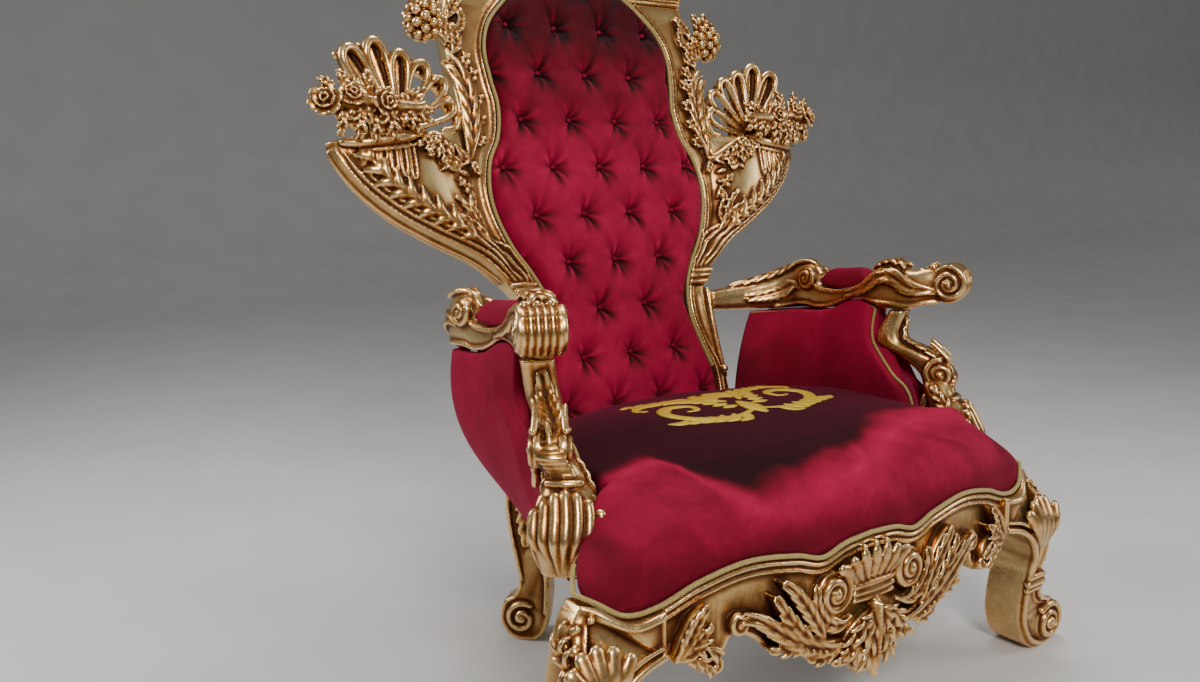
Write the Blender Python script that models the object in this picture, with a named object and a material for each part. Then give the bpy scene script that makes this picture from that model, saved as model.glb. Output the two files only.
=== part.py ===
"""A carved, gilded throne with velvet upholstery and a diamond-tufted back.

Metres, +Z up, the front faces -Y, and +X is to the right of someone who looks at the front.
"""
import math

import bmesh
import bpy
from mathutils import Vector

# Clearances
GAP = 0.0005                 # between pieces that touch
CORD_GAP = 0.0012            # between a gimp cord and its neighbours

# Seat frame and seat
SEAT_MIDDLE_FRONT = 0.430    # how far the middle of the front rail stands forward
SEAM_HALF_WIDTH = 0.392      # where the front rail meets the legs
SEAM_FRONT = 0.400           # how far the rail stands forward at that seam
SEAT_HALF_WIDTH = 0.500      # half the seat's front edge
RAIL_THICKNESS = 0.042       # of the front rail, without its carving
RAIL_TOP = 0.375             # top of the side and back rails
RAIL_BOTTOM = 0.345
SIDE_RAIL_THICKNESS = 0.030
APRON_DROP = 0.233           # from the cord line to the tip of the pendant
CUSHION_CROWN = 0.520        # highest point of the seat
CUSHION_WIDE_DEPTH = 0.062   # depth of the wide strip in front of the posts
CORD_RADIUS = 0.004

# Back, measured in the plane of its gilded frame
BACK_AT_LEAN_HEIGHT = 0.168  # how far back the plane is at LEAN_HEIGHT
LEAN_HEIGHT = 0.500
BACK_LEAN = math.radians(15.1)
BOARD_THICKNESS = 0.046
PANEL_HALF_WIDTH = 0.258
PANEL_TOP = 1.335
PANEL_FOOT = 0.470
PANEL_PAD_BACK = -0.024      # rear face of the tufted pad
PANEL_PUFF = 0.022           # how far the tufts stand forward
TUFT_PITCH = 0.113
TUFT_ROW = 0.0925
TUFT_TOP_ROW = 1.230
BUTTON_RADIUS = 0.009
REAR_PANEL_THICKNESS = 0.018
REAR_FOOT_DEPTH = 0.287      # how far back the outside of the back reaches at the seat rail
WING_TOP = 1.298
CREST_TOP = 1.600

# Arms
ARM_HEIGHT = 0.720           # centre of the scroll at the front of the arm
ARM_SCROLL_RADIUS = 0.036
SCROLL_HALF_WIDTH = 0.031
SCROLL_DEPTH = -0.223        # how far forward, as y, the middle of that scroll is
SCROLL_TURN = math.radians(25)   # how far the front of the arm turns outward
ARM_HALF_WIDTH = 0.028
ARM_HALF_SPAN = 0.468        # from the middle of the throne to the arm's scroll
ARM_BACK_X = 0.2295          # where the arm meets the back's frame
CUSHION_INNER_HALF = ARM_HALF_SPAN - 0.092   # half the seat's width between the arm posts
POST_FOOT = RAIL_TOP + GAP
PAD_THICKNESS = 0.026
PAD_FOOT = 0.440
COVER_THICKNESS = 0.016
CLOTH_CLEARANCE = 0.003      # between the arm's curved wood and its upholstery
TOP_PAD_PUFF = 0.040         # how far the small pad on the arm stands up

# Legs
LEG_DEPTH = 0.082
LEG_FRONT = 0.387            # how far the front feet stand forward
KNEE_FORWARD = 0.030         # how much further forward the knee is than the foot
BACK_LEG_HALF_WIDTH = 0.026
BACK_LEG_X = 0.205
BACK_LEG_Y = 0.262


def clear_scene():
    for item in list(bpy.data.objects):
        bpy.data.objects.remove(item, do_unlink=True)


def new_collection(name):
    collection = bpy.data.collections.new(name)
    bpy.context.scene.collection.children.link(collection)
    return collection


clear_scene()
PARTS = new_collection("throne")
CUTTERS = new_collection("cutters")
ROOT = bpy.data.objects.new("throne_root", None)
PARTS.objects.link(ROOT)

LOOKS = {
    "gilt": ((0.66, 0.46, 0.20), 0.36, 0.85),
    "velvet": ((0.36, 0.010, 0.030), 0.85, 0.0),
    "gimp": ((0.45, 0.33, 0.10), 0.60, 0.3),
}


def material(name, look):
    colour, roughness, metallic = LOOKS[look]
    made = bpy.data.materials.new(look + "_" + name)
    made.use_nodes = True
    shader = made.node_tree.nodes["Principled BSDF"]
    shader.inputs["Base Color"].default_value = (*colour, 1.0)
    shader.inputs["Roughness"].default_value = roughness
    shader.inputs["Metallic"].default_value = metallic
    return made


def add_piece(name, mesh, look):
    piece = bpy.data.objects.new(name, mesh)
    mesh.materials.clear()
    mesh.materials.append(material(name, look))
    PARTS.objects.link(piece)
    piece.parent = ROOT
    return piece


def loft(rings, paired=False):
    """A closed body through rings of points, each ring as long as the first.

    In a paired ring the second half is the far face of the first half, point by point.
    """
    body = bmesh.new()
    rows = [[body.verts.new(point) for point in ring] for ring in rings]
    count = len(rows[0])
    for near, far in zip(rows, rows[1:]):
        for i in range(count):
            k = (i + 1) % count
            body.faces.new((near[i], near[k], far[k], far[i]))
    for row in (rows[0], rows[-1]):
        if paired:
            for i in range(count // 2 - 1):
                body.faces.new((row[i], row[i + 1], row[count - 2 - i], row[count - 1 - i]))
        else:
            body.faces.new(row)
    bmesh.ops.recalc_face_normals(body, faces=body.faces)
    mesh = bpy.data.meshes.new("loft")
    body.to_mesh(mesh)
    body.free()
    return mesh


def joined(meshes):
    body = bmesh.new()
    for mesh in meshes:
        body.from_mesh(mesh)
    result = bpy.data.meshes.new("ornament")
    body.to_mesh(result)
    body.free()
    return result


def boolean(piece, meshes, operation):
    """Add the meshes to the piece, or take them away from it."""
    other = bpy.data.objects.new(piece.name + "_" + operation.lower(), joined(meshes))
    CUTTERS.objects.link(other)
    other.parent = ROOT
    other.hide_render = True
    other.display_type = "WIRE"
    step = piece.modifiers.new(operation.lower(), "BOOLEAN")
    step.operation = operation
    step.solver = "EXACT"
    step.use_self = True
    step.object = other


def curve(table, value):
    """A smooth curve through a table of (place, height) pairs."""
    if value <= table[0][0]:
        return table[0][1]
    if value >= table[-1][0]:
        return table[-1][1]
    i = 0
    while table[i + 1][0] < value:
        i += 1
    (x0, y0), (x1, y1) = table[i], table[i + 1]
    before = table[i - 1] if i > 0 else table[i]
    after = table[i + 2] if i + 2 < len(table) else table[i + 1]
    width = x1 - x0
    slope0 = (y1 - before[1]) / (x1 - before[0]) * width
    slope1 = (after[1] - y0) / (after[0] - x0) * width
    t = (value - x0) / width
    return ((2 * t ** 3 - 3 * t ** 2 + 1) * y0 + (t ** 3 - 2 * t ** 2 + t) * slope0
            + (3 * t ** 2 - 2 * t ** 3) * y1 + (t ** 3 - t ** 2) * slope1)


def smooth_path(points, steps, closed=False):
    """Points along a smooth curve through the given ones."""
    points = [Vector(point) for point in points]
    count = len(points)
    result = []
    for i in range(count if closed else count - 1):
        p1, p2 = points[i], points[(i + 1) % count]
        p0 = points[i - 1] if closed or i > 0 else p1
        p3 = points[(i + 2) % count] if closed or i + 2 < count else p2
        for j in range(steps):
            t = j / steps
            result.append(0.5 * (2 * p1 + (p2 - p0) * t + (2 * p0 - 5 * p1 + 4 * p2 - p3) * t * t
                                 + (3 * p1 - p0 - 3 * p2 + p3) * t ** 3))
    if not closed:
        result.append(points[-1])
    return result


def ridge(path, radii, sides=3, flat=1.0, up=Vector((0, -1, 0))):
    """A tapering rib along a path. Its radii run from one end to the other."""
    rings = []
    last = len(path) - 1
    for i, place in enumerate(path):
        ahead = (path[min(i + 1, last)] - path[max(i - 1, 0)]).normalized()
        side = ahead.cross(up).normalized()
        lift = side.cross(ahead)
        radius = curve([(k / (len(radii) - 1), r) for k, r in enumerate(radii)], i / last)
        rings.append([place + radius * (math.cos(a) * side + flat * math.sin(a) * lift)
                      for a in (math.pi * (0.5 + 2 * k / sides) for k in range(sides))])
    return loft(rings)


def ball(centre, radius, segments=6, rows=4, squash=1.0):
    body = bmesh.new()
    bmesh.ops.create_uvsphere(body, u_segments=segments, v_segments=rows, radius=radius)
    for point in body.verts:
        point.co.y *= squash
        point.co += Vector(centre)
    mesh = bpy.data.meshes.new("ball")
    body.to_mesh(mesh)
    body.free()
    return mesh


def spiral(centre, radius, turns, start, sense, place, count=16, shrink=0.22):
    """Points of a volute in a plane. place turns its two coordinates into a point in space."""
    points = []
    for i in range(count):
        t = i / (count - 1)
        angle = start + sense * turns * 2 * math.pi * t
        reach = radius * (1 - (1 - shrink) * t)
        points.append(place(centre[0] + reach * math.cos(angle), centre[1] + reach * math.sin(angle)))
    return points


def plate(outline, place, depth, edge):
    """A board with a softened edge. place turns (x, z, depth) into a point in space."""
    count = len(outline)
    inset = []
    for i in range(count):
        along = (outline[(i + 1) % count] - outline[i - 1]).normalized()
        inset.append(outline[i] + edge * Vector((-along.y, along.x)))
    layers = ((inset, 0.0), (outline, edge), (outline, depth - edge), (inset, depth))
    return loft([[place(point.x, point.y, at) for point in ring] for ring, at in layers])


def seat_front(x):
    """How far forward (as y) the seat frame's face stands at x."""
    drop = SEAT_MIDDLE_FRONT - SEAM_FRONT
    return -SEAT_MIDDLE_FRONT + drop * (x / SEAM_HALF_WIDTH) ** 2


CORD_LINE = ((0.000, 0.383), (0.060, 0.378), (0.107, 0.366), (0.160, 0.380), (0.250, 0.391),
             (0.335, 0.378), (0.400, 0.356), (0.450, 0.354), (0.500, 0.384), (0.520, 0.388))


def cord_line(x):
    """Height of the gimp cord along the front of the seat."""
    return curve(CORD_LINE, abs(x))


def on_back(x, height, forward):
    """A point on the leaning back. height is measured up the plane, forward out of it."""
    along = (height - LEAN_HEIGHT) / math.cos(BACK_LEAN)
    return Vector((x,
                   BACK_AT_LEAN_HEIGHT + along * math.sin(BACK_LEAN) - forward * math.cos(BACK_LEAN),
                   LEAN_HEIGHT + along * math.cos(BACK_LEAN) + forward * math.sin(BACK_LEAN)))


PANEL_SHAPE = ((0.440, 0.80), (0.520, 0.795), (0.580, 0.717), (0.640, 0.651), (0.700, 0.667),
               (0.750, 0.756), (0.800, 0.884), (0.860, 0.977), (0.910, 1.000), (0.965, 0.957),
               (1.010, 0.860), (1.070, 0.818), (1.120, 0.845), (1.180, 0.857), (1.235, 0.775),
               (1.285, 0.581), (1.312, 0.430), (1.328, 0.260), (1.335, 0.100))


def panel_half(height):
    """Half the width of the upholstered back at a height."""
    return PANEL_HALF_WIDTH * curve(PANEL_SHAPE, height + 1.335 - PANEL_TOP)


def panel_arch(x):
    """Height of the upholstered back's top edge at x."""
    share = min(abs(x) / (0.581 * PANEL_HALF_WIDTH), 1.0)
    return PANEL_TOP - 0.050 * share ** 2.6


MOUTH_INNER = 1.018
MOUTH_OUTER = 1.000
MOUTH_SLOPE = 0.072
WING_EDGE = ((0.376, 0.250), (0.494, 0.246), (0.560, 0.234), (0.620, 0.226), (0.680, 0.224),
             (0.715, 0.238), (0.750, 0.272), (0.786, 0.318), (0.830, 0.402), (0.866, 0.462),
             (0.910, 0.514), (0.957, 0.550), (0.990, 0.563), (1.002, 0.552), (1.010, 0.440),
             (1.018, 0.330), (1.040, 0.302), (1.100, 0.300), (1.150, 0.304), (1.190, 0.306),
             (1.220, 0.303), (1.260, 0.297), (1.300, 0.290))
BOARD_RISE = BOARD_THICKNESS * math.sin(BACK_LEAN)
WING_FOOT = RAIL_TOP + BOARD_RISE + GAP
FRAME_ROWS = (0.53, 0.59, 0.65, 0.70, 0.74, 0.79, 0.85, 0.91, 0.96, 0.998)
CREST_ROWS = (1.04, 1.09, 1.14, 1.19, 1.245, WING_TOP)
WING_ROWS = (WING_FOOT, 0.46) + FRAME_ROWS + (1.008, 1.018) + CREST_ROWS
WING_COLUMNS = 7


HORN_SWELL = ((0.735, 0.000), (0.775, 0.013), (0.830, 0.022), (0.900, 0.032), (0.992, 0.034),
              (1.012, 0.022), (1.030, 0.000))
HORN_ROOT = ((0.735, 0.232), (0.800, 0.262), (0.860, 0.292), (1.020, 0.300))
HORN_BACK = ((0.735, 0.004), (0.800, 0.016), (0.880, 0.026), (0.990, 0.028), (1.018, 0.004))


def horn_swell(x, height):
    """How far the horn of plenty bulges forward of the flat frame."""
    root = curve(HORN_ROOT, height)
    across = (x - root) / (curve(WING_EDGE, min(height, MOUTH_OUTER)) - root)
    return curve(HORN_SWELL, height) * math.sin(math.pi * max(0.0, min(1.0, across))) ** 0.75


def wing(side):
    """One side of the back's frame: the stile and the horn of plenty that grows out of it."""
    rows = []
    for height in WING_ROWS:
        inner = panel_half(height) + 2 * CORD_RADIUS + 2 * CORD_GAP
        outer = curve(WING_EDGE, height)
        front = []
        for i in range(WING_COLUMNS):
            t = i / (WING_COLUMNS - 1)
            x = inner + (outer - inner) * t
            bead = 0.006 * math.exp(-((t - 0.12) / 0.08) ** 2)
            edge = -0.010 if i in (0, WING_COLUMNS - 1) else 0.0
            front.append(on_back(side * x, height, horn_swell(x, height) + bead + edge))
        turned = curve(HORN_BACK, height)
        back = [on_back(side * x, height, lift) for x, lift in
                ((outer - 0.2 * turned, -0.6 * BOARD_THICKNESS), (outer - turned, -BOARD_THICKNESS),
                 (inner, -BOARD_THICKNESS))]
        rows.append(front + back)
    name = "back_wing_right" if side > 0 else "back_wing_left"
    piece = add_piece(name, loft(rows), "gilt")
    boolean(piece, wing_carving(side), "UNION")


def wing_carving(side):
    """Acanthus, flutes, rim and ring on the face of one wing."""
    def face(x, height, lift=0.0):
        return on_back(side * x, height, horn_swell(x, height) + lift)

    ribs = []
    ring_height = 0.712
    path = [face(x, ring_height, 0.002) for x in (0.190, 0.207, 0.224)]
    ribs.append(ridge(path, (0.009, 0.011, 0.009)))
    outer_band = [(0.238, 0.745), (0.310, 0.805), (0.400, 0.855), (0.480, 0.910), (0.538, 0.985)]
    ribs.append(ridge([face(x, h, 0.001) for x, h in outer_band], (0.004, 0.009, 0.010, 0.010, 0.007)))
    for k in range(3):
        t = k / 2
        x = 0.350 + 0.135 * t
        low = 0.868 + 0.045 * t
        path = [face(x - 0.012, low, -0.002), face(x, low + 0.030, 0.001), face(x - 0.018, low + 0.062, -0.002)]
        ribs.append(ridge(path, (0.006, 0.011, 0.006)))
    for k in range(3):
        x = 0.450 + 0.030 * k
        ribs.append(ridge([face(x, 0.934, -0.002), face(x + 0.002, 0.960, 0.0), face(x + 0.002, 0.984, -0.002)],
                          (0.007, 0.009, 0.008)))
    rim = [face(0.400, 0.992, 0.004), face(0.465, 0.990, 0.008), face(0.535, 0.990, 0.004)]
    ribs.append(ridge(rim, (0.006, 0.009, 0.006)))
    leaf = [(0.300, 0.985), (0.287, 1.040), (0.282, 1.090), (0.296, 1.140), (0.302, 1.175)]
    ribs.append(ridge([face(x, h, 0.0) for x, h in leaf], (0.004, 0.012, 0.014, 0.012, 0.007), flat=0.8))
    for x, h in ((0.262, 1.150), (0.252, 1.090), (0.258, 1.030)):
        ribs.append(ridge([face(x + 0.020, h - 0.020, -0.002), face(x + 0.008, h, 0.002), face(x, h + 0.018, -0.002)],
                          (0.005, 0.009, 0.005)))
    return ribs


FAN_REACH = ((-4, 0.100), (20, 0.115), (45, 0.150), (58, 0.176), (73, 0.176), (92, 0.154), (111, 0.149),
             (134, 0.146), (154, 0.132), (166, 0.116), (176, 0.094))
FAN_LOBES = 6
FAN_FIRST = 48               # degrees, where the lobes begin
FAN_LOBE = 19.4              # degrees from lobe to lobe
HUB_X = 0.428


def horn_mouth(x):
    """Height of the horn's upper edge, on which the shell stands."""
    return MOUTH_INNER - (x - 0.330) * MOUTH_SLOPE


def fan_reach(degrees):
    reach = curve(FAN_REACH, degrees)
    lobe = (degrees - FAN_FIRST) / FAN_LOBE
    arch = abs(math.sin(math.pi * lobe)) if 0 < lobe < FAN_LOBES else 0.0
    return reach * (0.90 + 0.10 * arch ** 0.6), arch


def fan_point(side, degrees, share, lift):
    reach, arch = fan_reach(degrees)
    angle = math.radians(degrees)
    lean = 0.020 - 0.034 * degrees / 176
    height = horn_mouth(HUB_X) + GAP + 0.0005 + reach * share * math.sin(angle)
    return on_back(side * (HUB_X + reach * share * math.cos(angle)), height, lean * share ** 2 + lift)


def shell_fan(side):
    """The pierced shell that opens above the horn's mouth."""
    rings = []
    angles = [-4, 16, 34] + [FAN_FIRST + FAN_LOBE * k / 2 for k in range(2 * FAN_LOBES + 1)] + [176]
    for degrees in angles:
        arch = fan_reach(degrees)[1]
        ring = [fan_point(side, degrees, share, lift) for share, lift in
                ((0.10, 0.004), (0.55, 0.010 - 0.008 * arch), (0.86, 0.013 - 0.006 * arch), (1.0, 0.004),
                 (1.0, -0.006), (0.10, -0.008))]
        rings.append(ring)
    name = "shell_fan_right" if side > 0 else "shell_fan_left"
    piece = add_piece(name, loft(rings), "gilt")
    holes = []
    for lobe, share, size in ((5.45, 0.62, 0.015), (4.5, 0.68, 0.011), (3.5, 0.72, 0.010)):
        degrees = FAN_FIRST + FAN_LOBE * lobe
        path = [fan_point(side, degrees, share, 0.05), fan_point(side, degrees, share, -0.05)]
        holes.append(ridge(path, (size, size), sides=6, up=Vector((1, 0, 0))))
    boolean(piece, holes, "DIFFERENCE")


def bloom(centre, radius, petals=4):
    """A rose: a low dome with a furled heart and scalloped petals."""
    body = bmesh.new()
    bmesh.ops.create_uvsphere(body, u_segments=2 * petals, v_segments=4, radius=radius)
    tilt = Vector((0, -1, 0))
    for point in body.verts:
        x, y, z = point.co
        angle = math.atan2(y, x)
        wave = 1.0 + 0.13 * math.cos(petals * angle)
        heart = 0.55 * z if z > 0.9 * radius else z
        point.co = Vector((x * wave, -0.75 * heart, y * wave)) + Vector(centre) + 0.1 * radius * tilt
    bmesh.ops.recalc_face_normals(body, faces=body.faces)
    mesh = bpy.data.meshes.new("bloom")
    body.to_mesh(mesh)
    body.free()
    return mesh


def flower_cluster(side):
    """Roses and leaves that spill out of the horn."""
    def face(x, height, lift):
        return on_back(side * x, height, lift)

    name = "flower_cluster_right" if side > 0 else "flower_cluster_left"
    stem = [face(x, horn_mouth(x) + 0.026, lift) for x, lift in
            ((0.395, 0.049), (0.450, 0.050), (0.520, 0.058), (0.570, 0.062))]
    piece = add_piece(name, ridge(stem, (0.012, 0.018, 0.018, 0.013), sides=6, flat=1.5), "gilt")
    extras = [bloom(face(0.573, 1.050, 0.060), 0.027), bloom(face(0.523, 1.058, 0.058), 0.024),
              bloom(face(0.466, 1.046, 0.058), 0.025)]
    for x, height, tip_x, tip_height in ((0.430, 1.040, 0.380, 1.028), (0.420, 1.046, 0.385, 1.078),
                                         (0.505, 1.050, 0.498, 1.098)):
        middle = face((x + tip_x) / 2, (height + tip_height) / 2 + 0.004, 0.054)
        extras.append(ridge([face(x, height, 0.048), middle, face(tip_x, tip_height, 0.046)],
                            (0.005, 0.011, 0.003), flat=0.5))
    boolean(piece, extras, "UNION")


def grape_cluster(side):
    """A bunch of grapes with two leaves at the shoulder of the back."""
    name = "grape_cluster_right" if side > 0 else "grape_cluster_left"
    centre_x, centre_height, lift = 0.344, 1.230, -0.006
    piece = add_piece(name, ball(on_back(side * centre_x, centre_height, lift), 0.032), "gilt")
    extras = []
    for row, (reach, count) in enumerate(((0.030, 6), (0.013, 3))):
        for i in range(count):
            angle = 2 * math.pi * (i + 0.5 * row) / count
            place = on_back(side * (centre_x + reach * math.cos(angle)),
                            centre_height + reach * math.sin(angle), lift + 0.014 + 0.014 * row)
            extras.append(ball(place, 0.013, 5, 3))
    boolean(piece, extras, "UNION")


CREST_EDGE = ((0.000, 1.000), (0.030, 0.970), (0.058, 0.960), (0.075, 0.850), (0.100, 0.790),
              (0.118, 0.640), (0.150, 0.500), (0.185, 0.520), (0.215, 0.470), (0.245, 0.300),
              (0.275, 0.230), (0.290, 0.160))


def crest_edge(x):
    return WING_TOP + (CREST_TOP - WING_TOP) / math.cos(BACK_LEAN) * curve(CREST_EDGE, abs(x))


def crest_rail():
    """The arched top of the frame with its palmette and scrolls."""
    half = 0.290
    steps = 18
    rings = []
    for i in range(steps + 1):
        x = -half + 2 * half * i / steps
        low = max(WING_TOP + GAP, panel_arch(x) + 2 * CORD_RADIUS + 2 * CORD_GAP)
        high = crest_edge(x)
        ring = []
        for share, lift in ((0.0, -0.010), (0.10, 0.005), (0.28, 0.0), (0.70, 0.011), (1.0, 0.0)):
            ring.append(on_back(x, low + (high - low) * share, lift))
        for share in (1.0, 0.0):
            ring.append(on_back(x, low + (high - low) * share, -BOARD_THICKNESS * (1 - 0.3 * share)))
        rings.append(ring)
    piece = add_piece("crest_rail", loft(rings), "gilt")
    ribs = []
    for k in range(-2, 3):
        angle = math.radians(90 - 27 * k)
        reach = 0.205 - 0.026 * abs(k) ** 1.5
        path = [on_back(reach * s * math.cos(angle), 1.390 + reach * s * math.sin(angle), 0.010 + 0.006 * s)
                for s in (0.22, 0.6, 0.98)]
        ribs.append(ridge(path, (0.006, 0.013, 0.010)))
    for side in (-1, 1):
        def face(x, height):
            return on_back(side * x, height, 0.010)
        ribs.append(ridge(spiral((0.225, 1.392), 0.032, 1.1, -1.2, 1, face, 9), (0.010, 0.008, 0.006)))
        sweep = [face(0.200, 1.372), face(0.160, 1.395), face(0.120, 1.400), face(0.070, 1.385)]
        ribs.append(ridge(sweep, (0.006, 0.012, 0.012, 0.006)))
    boolean(piece, ribs, "UNION")


def tuft_depth(x, height):
    """0 on a tuft, 1 at a button, and in between along the folds that join the buttons."""
    u = x / TUFT_PITCH
    v = (TUFT_TOP_ROW - height) / TUFT_ROW
    a = (u + v / 2 + 0.5) % 1.0
    b = (u - v / 2 + 0.5) % 1.0
    near_a = min(a, 1 - a)
    near_b = min(b, 1 - b)
    fold = max(math.exp(-(near_a / 0.10) ** 2), math.exp(-(near_b / 0.10) ** 2))
    pin = math.exp(-(near_a ** 2 + near_b ** 2) / 0.030)
    return max(0.5 * fold, pin)


def back_panel_front():
    """The tufted pad. Its buttons are fused to it."""
    columns = 2 * math.ceil(PANEL_HALF_WIDTH / (TUFT_PITCH / 2))
    step = TUFT_ROW / 2
    levels = []
    height = TUFT_TOP_ROW + 2 * step
    while height > PANEL_FOOT + 0.3 * step:
        levels.append(height)
        height -= step
    levels.append(PANEL_FOOT)
    rings = []
    for height in [PANEL_TOP - 0.003] + levels:
        half = panel_half(height) - GAP
        front = []
        for i in range(columns + 1):
            x = -half + 2 * half * i / columns
            rim = min(1.0, (half - abs(x)) / 0.022, (PANEL_TOP - height) / 0.03 + 0.1)
            forward = rim * PANEL_PUFF * (1 - 1.3 * tuft_depth(x, height)) - 0.006
            front.append(on_back(x, height, forward))
        rings.append(front + [on_back(half, height, PANEL_PAD_BACK), on_back(-half, height, PANEL_PAD_BACK)])
    piece = add_piece("back_panel_front", loft(rings), "velvet")
    boolean(piece, [ball(place, BUTTON_RADIUS, 5, 3, 0.7) for place in button_places()], "UNION")


def button_places():
    places = []
    row = 0
    height = TUFT_TOP_ROW
    while height > 0.66:
        shift = 0.5 if row % 2 == 0 else 0.0
        for k in range(-3, 4):
            x = (k + shift) * TUFT_PITCH
            if abs(x) < panel_half(height) - 2.5 * BUTTON_RADIUS:
                places.append(on_back(x, height, -0.010))
        height -= TUFT_ROW
        row += 1
    return places


def back_panel_rear():
    """The plain outside of the back, which spreads to the seat rail at its foot."""
    rings = []
    for height in (RAIL_TOP + 2 * BOARD_RISE, 0.46, 0.56, 0.66, 0.76, 0.86, 0.96, 1.06, 1.16, 1.22, 1.27,
                   1.30, 1.32):
        half = panel_half(max(height, PANEL_FOOT)) - GAP
        inner = PANEL_PAD_BACK - GAP
        outer = inner - REAR_PANEL_THICKNESS
        foot = max(0.0, (0.66 - height) / (0.66 - RAIL_TOP))
        ring = []
        for t in (-1.0, -0.5, 0.0, 0.5, 1.0):
            ring.append(on_back(half * t, height, outer - 0.006 * (1 - t * t)))
        for point in ring:
            point.y += (REAR_FOOT_DEPTH - point.y) * foot ** 1.5
        rings.append(ring + [on_back(half, height, inner), on_back(-half, height, inner)])
    add_piece("back_panel_rear", loft(rings), "velvet")


APRON_EDGE = ((0.000, 0.145), (0.020, 0.150), (0.040, 0.168), (0.062, 0.172), (0.085, 0.196),
              (0.118, 0.210), (0.150, 0.238), (0.205, 0.246), (0.245, 0.272), (0.275, 0.282),
              (0.300, 0.240), (0.325, 0.236), (0.350, 0.262), (0.3915, 0.285))


def front_rail():
    """The carved front rail with its hanging palmette."""
    def top(x):
        return cord_line(x) - CORD_RADIUS - CORD_GAP

    half = SEAM_HALF_WIDTH - GAP
    steps = 20
    lowest = 0.383 - APRON_DROP
    rings = []
    for i in range(steps + 1):
        x = -half + 2 * half * i / steps
        low = lowest + (curve(APRON_EDGE, abs(x)) - 0.150)
        high = top(x)
        ring = []
        for share, lift in ((1.0, 0.0), (0.92, 0.007), (0.80, 0.001), (0.10, 0.007), (0.0, 0.0)):
            ring.append(Vector((x, seat_front(x) - lift, low + (high - low) * share)))
        for share in (0.0, 1.0):
            ring.append(Vector((x, seat_front(x) + RAIL_THICKNESS, low + (high - low) * share)))
        rings.append(ring)
    piece = add_piece("front_rail", loft(rings), "gilt")
    boolean(piece, apron_carving(), "UNION")


def apron_carving():
    """Volutes, shell, palmette and acanthus sprays of the front rail."""
    def face(x, z, lift=0.010):
        return Vector((x, seat_front(x) - lift, z))

    ribs = []
    for k in range(-2, 3):
        path = [face(0.016 * k, 0.312, 0.004), face(0.030 * k, 0.345 - 0.003 * k * k, 0.006)]
        ribs.append(ridge(path, (0.007, 0.010)))
    for k in range(-2, 3):
        angle = math.radians(-90 + 24 * k)
        reach = 0.118 - 0.011 * abs(k)
        path = [face(reach * s * math.cos(angle), 0.268 + reach * s * math.sin(angle), 0.012 + 0.004 * s)
                for s in (0.15, 0.55, 0.95)]
        ribs.append(ridge(path, (0.006, 0.013, 0.009)))
    ribs.append(ridge([face(-0.05, 0.300, 0.006), face(0.0, 0.296), face(0.05, 0.300, 0.006)],
                      (0.007, 0.010, 0.007)))
    sprays = (((0.060, 0.215), (0.130, 0.235), (0.200, 0.270), (0.255, 0.312), (0.282, 0.300)),
              ((0.130, 0.238), (0.155, 0.290), (0.190, 0.348)),
              ((0.378, 0.278), (0.345, 0.310), (0.325, 0.345)),
              ((0.378, 0.278), (0.335, 0.285), (0.310, 0.252)))
    for side in (-1, 1):
        def half_face(x, z):
            return face(side * x, z, 0.012)
        ribs.append(ridge(spiral((0.088, 0.308), 0.031, 1.4, 2.2, 1, half_face, 8), (0.010, 0.008, 0.007)))
        for spray in sprays:
            path = [half_face(x, z) for x, z in spray]
            ribs.append(ridge(path, (0.007, 0.012, 0.012, 0.005)))
    return ribs


LEG_SHAPE = ((0.508, 0.376), (0.524, 0.350), (0.538, 0.305), (0.547, 0.255), (0.547, 0.205), (0.534, 0.160),
             (0.548, 0.118), (0.575, 0.103), (0.612, 0.094), (0.645, 0.070), (0.655, 0.038), (0.640, 0.010),
             (0.600, 0.000), (0.566, 0.000), (0.530, 0.020), (0.507, 0.062), (0.497, 0.112), (0.492, 0.152),
             (0.490, 0.180), (0.493, 0.215), (0.474, 0.252), (0.435, 0.276), (0.3925, 0.286))


def leg_front(z):
    """How far forward (as y) the front leg's face stands at a height."""
    t = max(0.0, min(1.0, (z - 0.05) / 0.22))
    return -LEG_FRONT - KNEE_FORWARD * t * t * (3 - 2 * t)


def front_leg(side):
    """A scrolled leg with a shell on its knee. It stands on the flat of its foot."""
    outline = [Vector(point) for point in LEG_SHAPE]
    for k in range(6):
        x = SEAM_HALF_WIDTH + GAP + 0.0195 * k
        outline.append(Vector((x, cord_line(x) - CORD_RADIUS - 2 * CORD_GAP)))

    def place(x, z, depth):
        top_pull = max(0.0, (z - 0.30) / 0.075) * max(0.0, (x - 0.44) / 0.06) * 0.040
        return Vector((side * x, leg_front(z) + depth + min(top_pull, 0.040) * (1 - depth / LEG_DEPTH), z))

    outline.reverse()
    name = "front_leg_right" if side > 0 else "front_leg_left"
    piece = add_piece(name, plate(outline, place, LEG_DEPTH, 0.006), "gilt")

    def face(x, z):
        return place(x, z, -0.001)

    ribs = [ridge(spiral((0.603, 0.050), 0.038, 1.35, 2.4, -1, face, 8), (0.008, 0.007, 0.006))]
    for k in (-1, 0, 1):
        path = [place(0.505 + 0.006 * k, 0.235, 0.002), place(0.500 + 0.020 * k, 0.275, -0.006),
                place(0.498 + 0.030 * k, 0.318 - 0.010 * abs(k), -0.002)]
        ribs.append(ridge(path, (0.006, 0.012, 0.010)))
    ribs.append(ridge([place(x, 0.164, 0.000) for x in (0.484, 0.512, 0.540)], (0.009, 0.009, 0.009)))
    boolean(piece, ribs, "UNION")


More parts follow.
